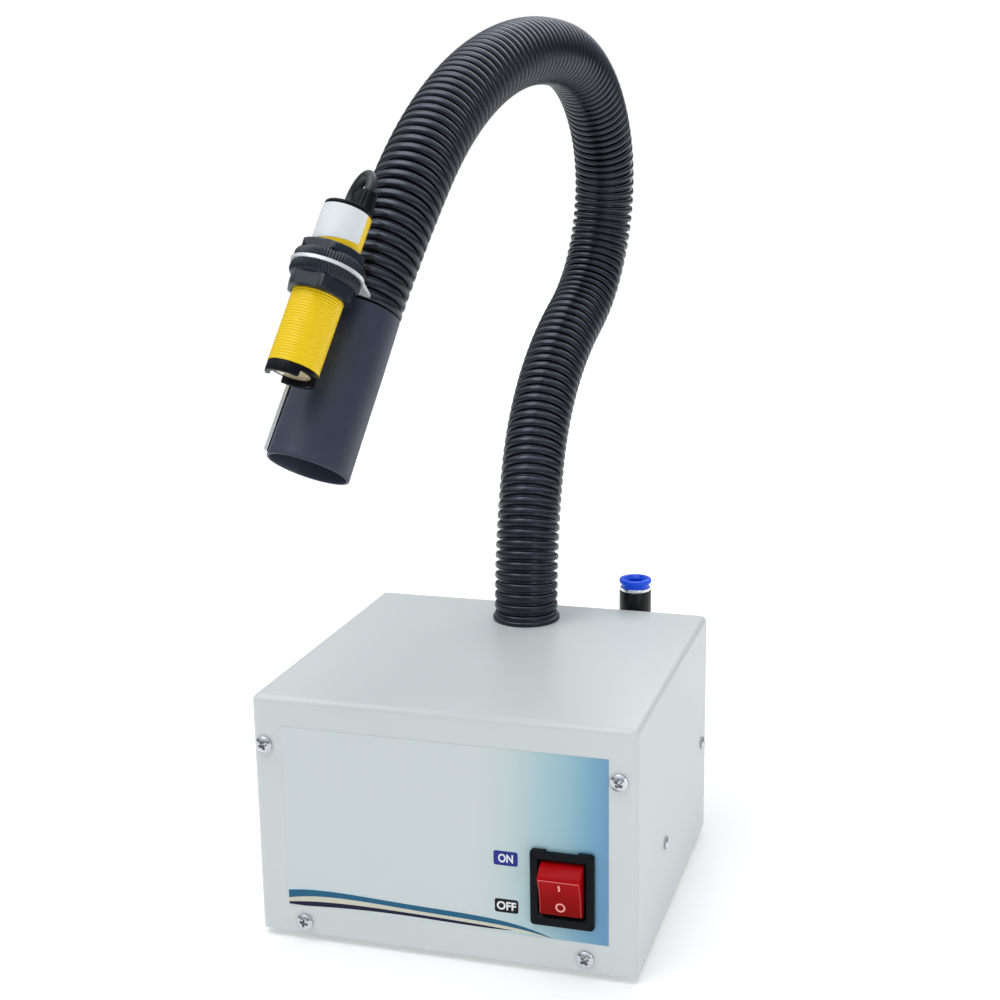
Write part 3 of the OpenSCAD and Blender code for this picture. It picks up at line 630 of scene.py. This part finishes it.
def screw(name, head_d, head_h, place):
    """A pan head with a cross recess, its seat on z = 0 and its shank below."""
    rings, segments, wing = 22, 72, head_d * 0.085
    reach = head_d * 0.27
    points = []
    dome = 2 * head_h
    for i in range(rings + 1):
        r = head_d / 2 * math.sin(math.pi / 2 * i / rings)
        for j in range(segments):
            a = 2 * math.pi * j / segments
            x, y = r * math.cos(a), r * math.sin(a)
            z = math.sqrt(max(0, dome ** 2 - (r * 0.9) ** 2)) - head_h
            slot = min(abs(x), abs(y))
            along = max(abs(x), abs(y))
            inside = min(1, max(0, (wing - slot) / (wing * 0.35)))
            ends = min(1, max(0, (reach - along) / (reach * 0.30)))
            points.append((x, y, z - head_h * 0.80 * inside * ends))
    for r, z in ((head_d / 2, 0.25), (head_d / 2 - 0.2, 0.0), (1.5, 0.0), (1.5, -4.0), (1.2, -4.4)):
        points += round_ring(r, z, segments)
    rows = [points[k:k + segments] for k in range(0, len(points), segments)]
    return mesh_object(name, *skin(rows), place)


def case_screws():
    """Pan heads on the front and the sides, each turned its own way."""
    def heads(name, node, places, head_d, head_h):
        made = [screw("head", head_d, head_h, looking(direction, place) @ Matrix.Rotation(
            math.radians(turn), 4, "Z")) for direction, place, turn in places]
        fit_out(join(name, made), "case", "screw_steel", 40, replaces=[node])

    front = [((0, -1, 0), (x, FRONT, z), turn) for x, z, turn in
             ((-72, 82, 20), (70, 81.5, 52), (-58, 8, 75), (57, 8.3, 35))]
    heads("front_screw_heads", "front_screws", front, 6.8, 2.2)
    sides = [((side, 0, 0), (side * HALF_W, y, z), turn) for side, y, z, turn in
             ((-1, -19, 34.5, 10), (-1, 62, 46, 50), (1, -19, 34.5, 30), (1, 62, 46, 66))]
    heads("side_screw_heads", "side_screws", sides, 5.6, 1.8)


def feet():
    low, high = corners_mm("rubber_feet")
    x, y, top = high.x - 7, high.y - 7, high.z
    profile = rounded([(1.6, 2.6, 0), (3.5, 2.6, 0.1), (3.5, 0, 0.3), (6, 0, 0.7), (7, top, 0.3),
                       (1.6, top, 0)], 4)
    spots = [(sx * x, sy * y) for sx in (-1, 1) for sy in (-1, 1)]
    pads = [lathe("pad", profile, Matrix.Translation((*spot, 0)), 48) for spot in spots]
    fit_out(join("rubber_pads", pads), "case", "black_rubber", 40, replaces=["rubber_feet"])
    heads = [screw("head", 5.6, 1.4, looking((0, 0, -1), (*spot, 1.7))) for spot in spots]
    fit_out(join("foot_screw_heads", heads), "case", "screw_steel", 40, replaces=["foot_screws"])


# ---------------- front label

INK_LIFT = 0.04


def on_label(x, z, lift):
    return (x, label_low.y - lift, z)


def ribbon(name, upper, lower, x0, x1, ink_name, lift, steps=64):
    """A printed band between two curves of x, as a thin closed sheet on the label."""
    rings = []
    for i in range(steps + 1):
        x = x0 + (x1 - x0) * i / steps
        top, bottom = max(upper(x), label_low.z), max(lower(x), label_low.z)
        if top - bottom < 0.02:
            top = bottom + 0.02
        rings.append([on_label(x, top, lift), on_label(x, bottom, lift),
                      on_label(x, bottom, -0.02), on_label(x, top, -0.02)])
    fit_out(mesh_object(name, *skin(rings)), "case", "label_film", 30, ink_name)


def through(points):
    """A smooth curve through a few points, by Lagrange's formula."""
    def value(x):
        total = 0.0
        for i, (xi, yi) in enumerate(points):
            part = yi
            for j, (xj, _) in enumerate(points):
                if j != i:
                    part *= (x - xj) / (xi - xj)
            total += part
        return total
    return value


def label_print():
    """Three curved bands that taper out on the label's lower edge."""
    left = label_low.x
    teal_top = through([(-63.7, 21.2), (-41, 22.4), (-18.5, 21.6), (11.3, 20.7), (43.5, 15.3)])
    cream_top = through([(-63.7, 17.9), (-41, 20.1), (-18.5, 19.5), (11.3, 18.5), (43.5, 15.1)])
    navy_top = through([(-63.7, 16.1), (-41, 17.9), (-18.5, 17.9), (11.3, 17.1), (28, 16.3)])
    navy_low = through([(-63.7, 14.5), (-41, 16.0), (-18.5, 16.5), (11.3, 16.0), (28, 16.2)])

    def cream_low(x):
        return navy_top(x) if x < 28 else 16.3 - 1.25 * (x - 28) / 15.5
    ribbon("band_teal", teal_top, cream_top, left, 43.5, "teal", 0.060)
    ribbon("band_cream", cream_top, cream_low, left, 43.5, "cream", 0.050)
    ribbon("band_navy", navy_top, navy_low, left, 28, "navy", 0.055)
    ribbon("band_glow", lambda x: teal_top(x) + 0.55 - 0.008 * (x - left), teal_top, left, 43.5,
           "glow", 0.045)


def badge(name, x0, x1, z0, z1, word, word_w, ink_name):
    """A small printed plate with a word in white."""
    place = Matrix.Translation((0, label_low.y + 0.02, 0)) @ UPRIGHT
    plate = slab(name + "_plate", rectangle(x0, z0, x1, z1, 0.9, 5), 0.02 + INK_LIFT, place)
    fit_out(plate, "case", "label_film", 30, ink_name)
    letters = bpy.data.curves.new(name, "FONT")
    letters.body, letters.align_x, letters.align_y = word, "CENTER", "CENTER"
    letters.size, letters.extrude, letters.offset = 1.0, 0.02, 0.03
    source = linked(name, letters)
    mesh = evaluated(source)
    bpy.data.objects.remove(source)
    co = np.array([v.co for v in mesh.vertices])
    low, high = co.min(0), co.max(0)
    wanted = (word_w, 3.5)
    points = []
    for p in co:
        x = (p[0] - (low[0] + high[0]) / 2) / (high[0] - low[0]) * wanted[0] + (x0 + x1) / 2
        z = (p[1] - (low[1] + high[1]) / 2) / (high[1] - low[1]) * wanted[1] + (z0 + z1) / 2
        points.append(on_label(x, z, 0.08 if p[2] > 0 else 0.0))
    faces = [tuple(f.vertices) for f in mesh.polygons]
    fit_out(mesh_object(name + "_word", points, faces), "case", "label_film", 30, "white")


# ---------------- rocker switch

ROCKER_R = 10.75
ROCKER_FACE = 7.2
ROCKER_W = 16.6
ROCKER_REST = 13
DISH_R = 40


def switch():
    """The housing: a bezel with a notch in its upper edge, round a well for the rocker."""
    bezel_t, front = 2.0, bezel_low.y
    outline = rectangle(bezel_low.x, bezel_low.z, bezel_high.x, bezel_high.z, 1.5, 6)
    place = Matrix.Translation((0, front + bezel_t, 0)) @ UPRIGHT
    frame_plate = slab("switch_frame", outline, bezel_t, place, 0.4, 3)
    body = block("body", (SWITCH_X - 10.9, front + bezel_t - 0.4, SWITCH_Z - 14.2),
                 (SWITCH_X + 10.9, bezel_high.y, SWITCH_Z + 14.2), 0.4)
    well_w, well_h = ROCKER_W / 2 + 0.35, ROCKER_R + 0.35
    well = block("well", (SWITCH_X - well_w, front - 5, SWITCH_Z - well_h),
                 (SWITCH_X + well_w, front + 14.5, SWITCH_Z + well_h), 0.3)
    notch = block("notch", (SWITCH_X - 6.3, front - 1, bezel_high.z - 0.9),
                  (SWITCH_X + 6.3, front + 3, bezel_high.z + 1), 0.2)
    sides = ((-1, -1), (1, -1), (1, 1), (-1, 1))
    rings = [[(SWITCH_X + s * (well_w + wider), y, SWITCH_Z + t * (well_h + wider)) for s, t in sides]
             for wider, y in ((1.1, front - 0.3), (0, front + 1.0))]
    carve(frame_plate, [body], "UNION")
    carve(frame_plate, [well, mesh_object("chamfer", *skin(rings)), notch])
    fit_out(frame_plate, "case", "black_plastic", 35, replaces=["switch_housing"])


def rocker_place():
    """The rocker's own frame at rest: x along the pivot, z out of its face."""
    return (Matrix.Translation((SWITCH_X, FRONT + 1.3, SWITCH_Z))
            @ Matrix.Rotation(math.radians(ROCKER_REST), 4, "X") @ UPRIGHT)


def dish(v):
    """Height of the rocker's hollow face at a distance v from its middle."""
    return ROCKER_FACE + 39.2 - math.sqrt(DISH_R ** 2 - v ** 2)


def rocker():
    """A bar of the CAD's section, its long edges and ends rounded."""
    place = rocker_place()
    tip = math.sqrt(ROCKER_R ** 2 - ROCKER_FACE ** 2)
    face = [(tip * (1 - 2 * i / 16), dish(tip * (1 - 2 * i / 16))) for i in range(17)]
    start, end = math.atan2(ROCKER_FACE, -tip), math.atan2(-4, -math.sqrt(ROCKER_R ** 2 - 16))
    outline = [(v, w) for v, w in face]
    steps = 10
    for i in range(1, steps + 1):
        a = start + (end + 2 * math.pi - start) % (2 * math.pi) * i / steps
        outline.append((ROCKER_R * math.cos(a), ROCKER_R * math.sin(a)))
    mirrored = [(-v, w) for v, w in reversed(outline[17:])]
    outline += mirrored
    turn = place @ Matrix(((0, 0, 1, 0), (1, 0, 0, 0), (0, 1, 0, 0), (0, 0, 0, 1)))
    obj = slab("rocker", outline, ROCKER_W, turn @ Matrix.Translation((0, 0, -ROCKER_W / 2)), 0.35, 3)
    fit_out(obj, "rocker", "rocker_red", 40, replaces=["switch_rocker"])

    def marked(name, outlines, u, v0):
        """A raised mark on the hollow face, from outlines in its own plane."""
        rings = [[place @ Vector((u + x, v0 + y, dish(v0 + y) + lift)) for x, y in outline]
                 for outline, lift in outlines]
        fit_out(mesh_object(name, *skin(rings, closed=len(outlines) > 2)), "rocker", "rocker_red",
                30, "rose")

    def painted_highlight_strip(name, ends, steps, width, ink_name, across):
        """A painted highlight: a fine light strip on the face, from ends to ends in u and v."""
        (u0, v0), (u1, v1) = ends
        rings = []
        for i in range(steps + 1):
            u, v = u0 + (u1 - u0) * i / steps, v0 + (v1 - v0) * i / steps
            step = (width / 2, 0) if across == "u" else (0, width / 2)
            low, high = (u - step[0], v - step[1]), (u + step[0], v + step[1])
            rings.append([place @ Vector((x, y, dish(y) + lift)) for (x, y), lift in
                          ((low, -0.1), (high, -0.1), (high, 0.03), (low, 0.03))])
        fit_out(mesh_object(name, *skin(rings)), "rocker", "rocker_red", 30, ink_name)

    # Painted highlights: light strips along the rocker's ridge and down both sides of its face.
    inset = ROCKER_W / 2 - 0.45
    painted_highlight_strip("ridge_highlight", ((-inset, tip - 0.45), (inset, tip - 0.45)), 8, 0.4, "edge", "v")
    for side, name in ((-1, "highlight_left"), (1, "highlight_right")):
        painted_highlight_strip(name, ((side * inset, tip - 0.8), (side * inset, 0.6 - tip)), 20, 0.3, "edge_highlight_dim", "u")

    bar = rectangle(-0.35, -1.5, 0.35, 1.5, 0.3, 4)
    marked("mark_on", [(bar, -0.05), (bar, 0.06)], 0, 4.4)

    def circle(r):
        return [(x, y) for x, y, _ in round_ring(r, 0, 40)]
    marked("mark_off", [(circle(1.9), -0.05), (circle(1.9), 0.06), (circle(1.3), 0.06),
                        (circle(1.3), -0.05)], 0, -4.6)


# ---------------- arm

HOSE_R = 14.0
GROOVE_R = 12.35
HOSE_BORE = 11.5
PITCH = 4.2
CORE_R = 6.5
CORE_BORE = 4.5


def swept_piece(name, arc, profile, bore, count, segments, grow=None):
    """A tube along one arc with a repeated profile of (share of a pitch, radius)."""
    length, bend, _ = ARCS[arc]
    rings = []
    for i in range(count):
        for share, radius in profile:
            s = length * (i + share) / count
            extra = grow(s) if grow else 0.0
            rings.append(arc_starts[arc].moved(s, bend * s / length).ring(radius + extra, segments))
    rings.append(arc_starts[arc].moved(length, bend).ring(profile[0][1], segments))
    for i in range(count, -1, -1):
        s = length * i / count
        rings.append(arc_starts[arc].moved(s, bend * s / length).ring(bore, segments))
    return mesh_object(name, *skin(rings, closed=True))


def bend_with_arm(obj, arc):
    """Bakes the piece's place into its mesh; the arc's two ends are worked out but not used."""
    length, bend, _ = ARCS[arc]
    start, end = arc_starts[arc].place, arc_starts[arc].moved(length, bend).place
    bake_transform(obj)


def ridge_profile():
    """One corrugation: a groove, then a rounded crest."""
    crest = 0.82
    shares = [(1 - crest) / 2 + crest * (1 - math.cos(math.pi * i / 8)) / 2 for i in range(9)]
    made = [(0.0, GROOVE_R)]
    for share in shares:
        x = abs(share - 0.5) / (crest / 2)
        made.append((share, GROOVE_R + (HOSE_R - GROOVE_R) * max(0, 1 - x ** 2.8) ** 0.45))
    return made


def arm():
    for arc, (length, _, _) in enumerate(ARCS):
        ridges = round(length / PITCH)
        hose = swept_piece(f"conduit_hose_{arc}", arc, ridge_profile(), HOSE_BORE, ridges, 64)
        coils = round(length / 2.8)
        wound = [(0.0, CORE_R - 0.5), (0.25, CORE_R - 0.08), (0.5, CORE_R), (0.75, CORE_R - 0.08)]
        core = swept_piece(f"gooseneck_coil_{arc}", arc, wound, CORE_BORE, coils, 32)
        for obj, slot, node, radius in ((hose, "conduit_black", f"conduit_{arc}", HOSE_R),
                                        (core, "bright_steel", f"gooseneck_{arc}", CORE_R)):
            rides_alone = arc == len(ARCS) - 1
            fit_out(obj, BODIES[-1] if rides_alone else None, slot, 50, replaces=[node])
            if not rides_alone:
                bend_with_arm(obj, arc)


def arm_foot():
    """The flanged bush that clamps the arm to the roof."""
    outline = rounded([(6.8, -12, 0.3), (10, -12, 0.4), (10, 0, 0), (14.8, 0, 0.3), (14.8, 2, 0.9),
                       (11.2, 2, 0.2), (11.2, 6, 0.4), (6.8, 6, 0.3)], 3)
    obj = lathe("arm_foot_bush", outline, Matrix.Translation(ARM_FOOT))
    fit_out(obj, "case", "conduit_black", 40, replaces=["arm_base_fitting"])


# ---------------- nozzle

SLEEVE_L = 60
SLEEVE_TOP_R = 14.0
SLEEVE_MOUTH_R = 15.1


def sleeve():
    """Heat-shrink sleeve: a slightly uneven taper, thin at its mouth."""
    wall = 1.1
    steps = 40
    outer = [(SLEEVE_TOP_R + (SLEEVE_MOUTH_R - SLEEVE_TOP_R) * i / steps - 0.12,
              SLEEVE_L * i / steps) for i in range(steps + 1)]
    inner = [(r - wall + 0.2, z) for r, z in reversed(outer)]
    outline = outer[:-1] + rounded([(outer[-2][0], outer[-2][1], 0), (outer[-1][0], SLEEVE_L, 0.45),
                                    (inner[0][0], SLEEVE_L, 0.45), (inner[1][0], inner[1][1], 0)],
                                   3, closed=False)[1:-1] + inner[1:]

    def wobble(a, r, z):
        wave = 0.07 * math.sin(2 * a + z * 0.06) + 0.04 * math.sin(5 * a - z * 0.11)
        return r + wave - 0.05 * math.cos(z * 0.55) * (0.5 + 0.5 * math.sin(a + 1))
    obj = lathe("shrink_sleeve", outline, nozzle_place, 96, wobble)
    fit_out(obj, "nozzle", "shrink_sleeve", 60, replaces=["nozzle_sleeve"])


def thread(name, radius, bore, z0, z1, pitch, place, segments=72, depth=0.14):
    """A threaded tube: the ridge climbs one pitch with each turn."""
    per_turn = 8
    turns = round((z1 - z0) / pitch)
    rings = []
    for i in range(turns * per_turn + 1):
        z = z0 + (z1 - z0) * i / (turns * per_turn)
        fade = min(1, (i + 1) / per_turn, (turns * per_turn - i + 1) / per_turn)

        def ridge(a):
            phase = (i / per_turn - a / (2 * math.pi)) % 1.0
            cut = min(1.0, abs(2 * phase - 1) * 1.25)
            return radius - depth * (cut ** 1.5) * fade - (1 - fade) * depth * 0.4
        rings.append(round_ring(ridge, z, segments))
    rings += [round_ring(bore, z, segments) for z in (z1, z0)]
    return mesh_object(name, *skin(rings, closed=True), place)


SENSOR_TAIL = -25
SENSOR_FACE = 34
SENSOR_R = 9.0
THREAD_END = -9
PLATE_LOW, PLATE_HIGH = -2.2, -1.0


def sensor_barrel():
    """A tube that is threaded in front and smooth at its tail."""
    threaded = thread("threads", SENSOR_R, 6.9, THREAD_END, SENSOR_FACE, 1.0, sensor_place)
    tail = lathe("tail", bushing(SENSOR_R - 0.42, 3, SENSOR_TAIL + 1.5, THREAD_END + 0.5, 0.25),
                 sensor_place, 72)
    fit_out(join("sensor_body", [threaded, tail]), "nozzle", "sensor_yellow", 50,
            replaces=["sensor_barrel"])


def sensor_wrap():
    """A silver foil label, wrapped round the tail a little askew, with a gap at one side."""
    r0, r1, z0 = SENSOR_R - 0.40, SENSOR_R - 0.28, -23.4
    start, sweep, steps = math.radians(-143), math.radians(300), 80
    rings = []
    for i in range(steps + 1):
        a = start + sweep * i / steps
        z1 = -11.3 + 1.4 * math.cos(a)
        rings.append([(r * math.cos(a), r * math.sin(a), z)
                      for r, z in ((r0, z0), (r1, z0 + 0.1), (r1, z1 - 0.1), (r0, z1))])
    fit_out(mesh_object("sensor_foil_wrap", *skin(rings), sensor_place), "nozzle", "bright_steel", 30)
    bpy.data.objects["sensor_foil_wrap"].data.materials[0] = silver_wrap()


def sensor_ends():
    tail = lathe("sensor_tail_disc", bushing(SENSOR_R - 0.5, 0.4, SENSOR_TAIL, SENSOR_TAIL + 1.5, 0.35),
                 sensor_place, 64)
    seat = lathe("seat", spun_disc(1.75, SENSOR_TAIL - 1, SENSOR_TAIL + 0.9, 0),
                 sensor_place @ Matrix.Translation((4.5, 0, 0)), 32)
    carve(tail, [seat])
    fit_out(tail, "nozzle", "black_plastic", 35, replaces=["sensor_tail_cap"])

    z0, z1 = SENSOR_FACE, SENSOR_FACE + 4
    ring = lathe("sensor_face_ring", rounded([(6.8, z0, 0.2), (8.8, z0, 0.2), (8.8, z1, 0.5),
                                              (6.8, z1, 0.4)], 3), sensor_place, 72)
    notches = [block("notch", (4.5, -4, z0 + 1.6), (12, 4, z1 + 1), 0.2) for _ in range(2)]
    for notch, turn in zip(notches, (45, 225)):
        notch.data.transform(Matrix.Rotation(math.radians(turn), 4, "Z"))
        move = sensor_place.copy()
        move.translation *= MM
        notch.data.transform(move)
    carve(ring, notches)
    fit_out(ring, "nozzle", "black_plastic", 35, replaces=["sensor_front_ring"])

    dome = [(0.01, z0 - 2.9), (6.7, z0 - 2.9), (6.7, z0 + 1.6)]
    dome += [(6.7 * math.cos(math.radians(a)), z0 + 1.6 + 0.7 * math.sin(math.radians(a)))
             for a in (15, 30, 45, 60, 75, 89.9)]
    fit_out(lathe("sensor_window", dome, sensor_place, 64), "nozzle", "lens_amber", 50,
            replaces=["sensor_lens"])


def flange_nut(name, flats, hex_h, flip):
    """A hexagon on a serrated flange; z 0 is the seat, and flip turns it over."""
    segments, teeth = 288, 72
    flange_r, flange_h, bore = 12.5, 4.0, 8.98
    sign = -1 if flip else 1
    seat = PLATE_LOW - 0.02 if flip else PLATE_HIGH + 0.02

    def hexagon(a, cut):
        folded = (a + math.pi / 6) % (math.pi / 3) - math.pi / 6
        return min(flats / 2 / math.cos(folded), cut)

    def serrated(a, depth):
        tooth = abs((a * teeth / (2 * math.pi)) % 1.0 * 2 - 1)
        return flange_r - depth - 0.28 * max(0.0, tooth - 0.2) / 0.8
    sections = [(0.0, lambda a: bore), (0.0, lambda a: serrated(a, 0.5)),
                (0.35, lambda a: serrated(a, 0.05)), (2.4, lambda a: serrated(a, 0.0)),
                (3.2, lambda a: serrated(a, 0.35)), (flange_h - 0.1, lambda a: flats / 2 + 0.75),
                (flange_h, lambda a: hexagon(a, flats / 2 + 1.2)),
                (flange_h + 0.25, lambda a: hexagon(a, 99)),
                (flange_h + hex_h - 1.0, lambda a: hexagon(a, 99)),
                (flange_h + hex_h - 0.45, lambda a: hexagon(a, flats / 2 + 0.85)),
                (flange_h + hex_h, lambda a: hexagon(a, flats / 2 - 0.1)),
                (flange_h + hex_h, lambda a: bore + 0.5), (flange_h + hex_h - 0.5, lambda a: bore)]
    rings = [round_ring(lambda a: min(radius(a), flange_r), seat + sign * z, segments)
             for z, radius in sections]
    return mesh_object(name, *skin(rings, closed=True), sensor_place)


def sensor_nuts():
    nuts = [flange_nut("nut", 21.5, 3.0, True), flange_nut("nut", 21.5, 5.2, False)]
    fit_out(join("sensor_flange_nuts", nuts), "nozzle", "nut_black", 28, replaces=["sensor_nuts"])


BOOT_SHIFT = 4.5
BOOT_TOP = -33.3
CABLE_R = 2.0
CABLE_BEND = 8
CABLE_GAP = 0.2  # between its two bends
CABLE_TURN = math.radians(70)  # the way the half turn leans
CABLE_AIM = (-0.4, 2)  # the point in the conduit that its end points at


def boot():
    """A tapered strain relief with ribs along it."""
    z0, z1 = BOOT_TOP, SENSOR_TAIL
    outline = rounded([(2.02, z0, 0), (3.2, z0, 0.5), (3.6, z1, 0), (2.02, z1, 0)], 4)
    outline = outline[:-2] + [(3.3, z0 + 2.5), (3.45, z0 + 5.5)] + outline[-2:]

    def wobble(a, r, z):
        return r - 0.34 * max(0.0, math.cos(9 * a)) ** 0.7 * (r > 2.9) * (z0 + 0.7 < z < z1)
    place = sensor_place @ Matrix.Translation((-BOOT_SHIFT, 0, 0))
    fit_out(lathe("strain_relief", outline, place, 108, wobble), "nozzle", "black_plastic", 50,
            replaces=["sensor_cable_boot"])


def cable_route():
    """Out of the sensor's tail, round a half turn beside it and into the conduit's side."""
    place = sensor_offset - Vector((BOOT_SHIFT, 0, 0))
    up = Vector((0, 0, -1))
    back = Vector((math.cos(CABLE_TURN), math.sin(CABLE_TURN), 0))
    points = [place + up * (-SENSOR_TAIL + (SENSOR_TAIL - BOOT_TOP) * i / 6) for i in range(7)]
    centre = points[-1] + back * CABLE_BEND
    for i in range(1, 33):
        a = math.pi * i / 32
        points.append(centre + CABLE_BEND * (up * math.sin(a) - back * math.cos(a)))
    over = points[-1] - up * CABLE_GAP
    inwards = Vector((CABLE_AIM[0] - over.x, CABLE_AIM[1] - over.y, 0)).normalized()
    points.append(over)
    for i in range(1, 17):
        a = math.pi / 2 * i / 16
        points.append(over + CABLE_BEND * (inwards * (1 - math.cos(a)) - up * math.sin(a)))
    points += [points[-1] + inwards * i for i in (1, 2)]
    return [nozzle_place @ p for p in points]


def sensor_cable():
    route = cable_route()
    rings, side = [], None
    for i, p in enumerate(route):
        ahead = (route[min(i + 1, len(route) - 1)] - route[max(i - 1, 0)]).normalized()
        side = nozzle_place.to_3x3().col[0] if side is None else side
        side = (side - ahead * side.dot(ahead)).normalized()
        across = ahead.cross(side)
        rings.append([p + CABLE_R * (math.cos(a) * side + math.sin(a) * across)
                      for a in (2 * math.pi * j / 32 for j in range(32))])
    obj = mesh_object("sensor_lead", *skin(rings))
    fit_out(obj, "nozzle", "cable_sheath", 50, replaces=["sensor_cable"])


# ---------------- fitting

def elbow():
    """The push-in elbow behind the case: body, ring and release collar."""
    low, high = corners_mm("fitting_elbow")
    radius = 7.2
    x, y, z = (low.x + high.x) / 2, high.y - radius, low.z + radius
    at = Matrix.Translation((x, y, 0))

    def rod(low_end, high_end):
        return rounded([(0.01, low_end, 0), (radius, low_end, 0), (radius, high_end, 0.5),
                        (0.01, high_end, 0)], 4)
    body = lathe("elbow_body", rod(z, high.z), at, 96)
    arc = [(radius * math.cos(math.pi * i / 48), radius * math.sin(math.pi * i / 48))
           for i in range(-24, 25)]
    knee = lathe("knee", [(max(0.01, r), h) for r, h in arc], Matrix.Translation((x, y, z)), 96)
    reach = y - low.y
    inwards = looking((0, -1, 0), (x, y, z))
    arm_out = lathe("arm_out", rod(0, reach), inwards, 96)
    carve(body, [knee, arm_out], "UNION")
    mouth = lathe("mouth", spun_disc(6.36, high.z - 4.9, high.z + 2, 0), at, 96)
    bore = lathe("bore", spun_disc(4.02, z + 5, high.z, 0), at, 64)
    seat = lathe("seat", spun_disc(5.06, 1.8, reach + 2, 0), inwards, 64)
    carve(body, [mouth, bore, seat])
    fit_out(body, "elbow", "fitting_black", 40, replaces=["fitting_elbow"])
    ring_low, ring_high = corners_mm("fitting_ring")
    ring = lathe("elbow_ring", bushing(6.9, 6.36, ring_low.z, ring_high.z, 0.25), at, 72)
    fit_out(ring, "elbow", "bright_steel", 40, replaces=["fitting_ring"])
    top = corners_mm("release_collar")[1].z
    rim = top - 2.4
    collar = lathe("collar_press_ring", rounded(
        [(4.1, high.z - 3.2, 0.2), (6.3, high.z - 3.2, 0.2), (6.3, rim, 0.4), (7.3, rim + 0.5, 0.6),
         (7.3, top, 0.9), (5.4, top, 0.5), (4.1, top - 1.6, 0.8)], 5), at, 72)
    fit_out(collar, "collar", "collar_blue", 50, replaces=["release_collar"])


# ---------------- set and light

def floor():
    size, steps = 3.0, 2
    points = [((i / steps - 0.5) * 2 * size / MM, (j / steps - 0.5) * 2 * size / MM, 0)
              for j in range(steps + 1) for i in range(steps + 1)]
    faces = [(a, a + 1, a + steps + 2, a + steps + 1)
             for j in range(steps) for a in range(j * (steps + 1), j * (steps + 1) + steps)]
    obj = mesh_object("floor", points, faces)
    white = finish("floor_white", (0.93, 0.93, 0.93, 1), 0.6, (2, 0.02), (60, 0.01), specular=0.2)
    white.set(Emission_Color=(1, 1, 1, 1), Emission_Strength=0.2)
    obj.data.materials.append(white.material)


def lamp(name, place, aim, size, power, colour=(1, 1, 1)):
    data = bpy.data.lights.new(name, "AREA")
    data.shape, data.size, data.size_y = "RECTANGLE", size[0], size[1]
    data.energy, data.color = power, colour
    linked(name, data).matrix_world = looking(Vector(place) - Vector(aim), place)


def sun(direction, strength, angle):
    data = bpy.data.lights.new("sun", "SUN")
    data.energy, data.angle = strength, math.radians(angle)
    linked("sun", data).matrix_world = looking(direction, (0, 0, 2))


def lights():
    """A white room: soft light, seen as pure white, and brighter overhead in reflections."""
    world = bpy.data.worlds.new("studio")
    world.use_nodes = True
    nodes, link = world.node_tree.nodes, world.node_tree.links.new
    soft = nodes["Background"]
    seen, mirrored = (nodes.new("ShaderNodeBackground") for _ in range(2))
    for node, colour in ((soft, (0.95, 0.98, 1.0, 1)), (seen, (1, 1, 1, 1)),
                         (mirrored, (0.86, 0.93, 1.0, 1))):
        node.inputs["Color"].default_value = colour
    soft.inputs["Strength"].default_value = 0.42
    place, parts = nodes.new("ShaderNodeTexCoord"), nodes.new("ShaderNodeSeparateXYZ")
    height = nodes.new("ShaderNodeMapRange")
    for name, number in (("From Min", 0.1), ("From Max", 0.9), ("To Min", 0.12), ("To Max", 1.5)):
        height.inputs[name].default_value = number
    link(place.outputs["Generated"], parts.inputs[0])
    link(parts.outputs["Z"], height.inputs["Value"])
    link(height.outputs["Result"], mirrored.inputs["Strength"])
    rays, shown = nodes.new("ShaderNodeLightPath"), soft.outputs[0]
    for ray, other in (("Is Glossy Ray", mirrored), ("Is Camera Ray", seen)):
        mix = nodes.new("ShaderNodeMixShader")
        link(rays.outputs[ray], mix.inputs["Fac"])
        link(shown, mix.inputs[1])
        link(other.outputs[0], mix.inputs[2])
        shown = mix.outputs[0]
    link(shown, nodes["World Output"].inputs["Surface"])
    bpy.context.scene.world = world
    sun((-0.20, -0.18, 1.0), 1.55, 50)
    lamp("key", (-0.9, -1.1, 1.5), (0, 0, 0.1), (1.2, 1.2), 1.0, (0.92, 0.96, 1.0))
    lamp("fill", (0.42, -0.36, 0.16), (0.077, -0.05, 0.05), (0.2, 0.2), 0.2)
    lamp("back", (0.2, 1.3, 1.2), (0, 0, 0.2), (1.2, 0.8), 6)


# ---------------- nodes kept from the CAD

def dress_nodes():
    """Materials for the CAD nodes that stay in view."""
    slots = {part["node"]: part["material_slot"] for part in frame["record"]["subparts"]}
    for name, obj in frame["nodes"].items():
        obj.data.materials.clear()
        obj.data.materials.append(MATERIALS[slots[name]])
    frame["nodes"]["sensor_bracket"].data.materials[0] = bracket_sheet()


add_camera()
dress_nodes()
case_shell()
case_screws()
feet()
label_print()
badge("badge_on", 21.2, 30.8, 42.9, 48.8, "ON", 5.9, "on")
badge("badge_off", 21.4, 30.8, 23.4, 29.0, "OFF", 7.7, "off")
switch()
rocker()
arm()
arm_foot()
sleeve()
sensor_barrel()
sensor_wrap()
sensor_ends()
sensor_nuts()
boot()
sensor_cable()
elbow()
floor()
lights()
bpy.context.scene.view_settings.view_transform = "Standard"
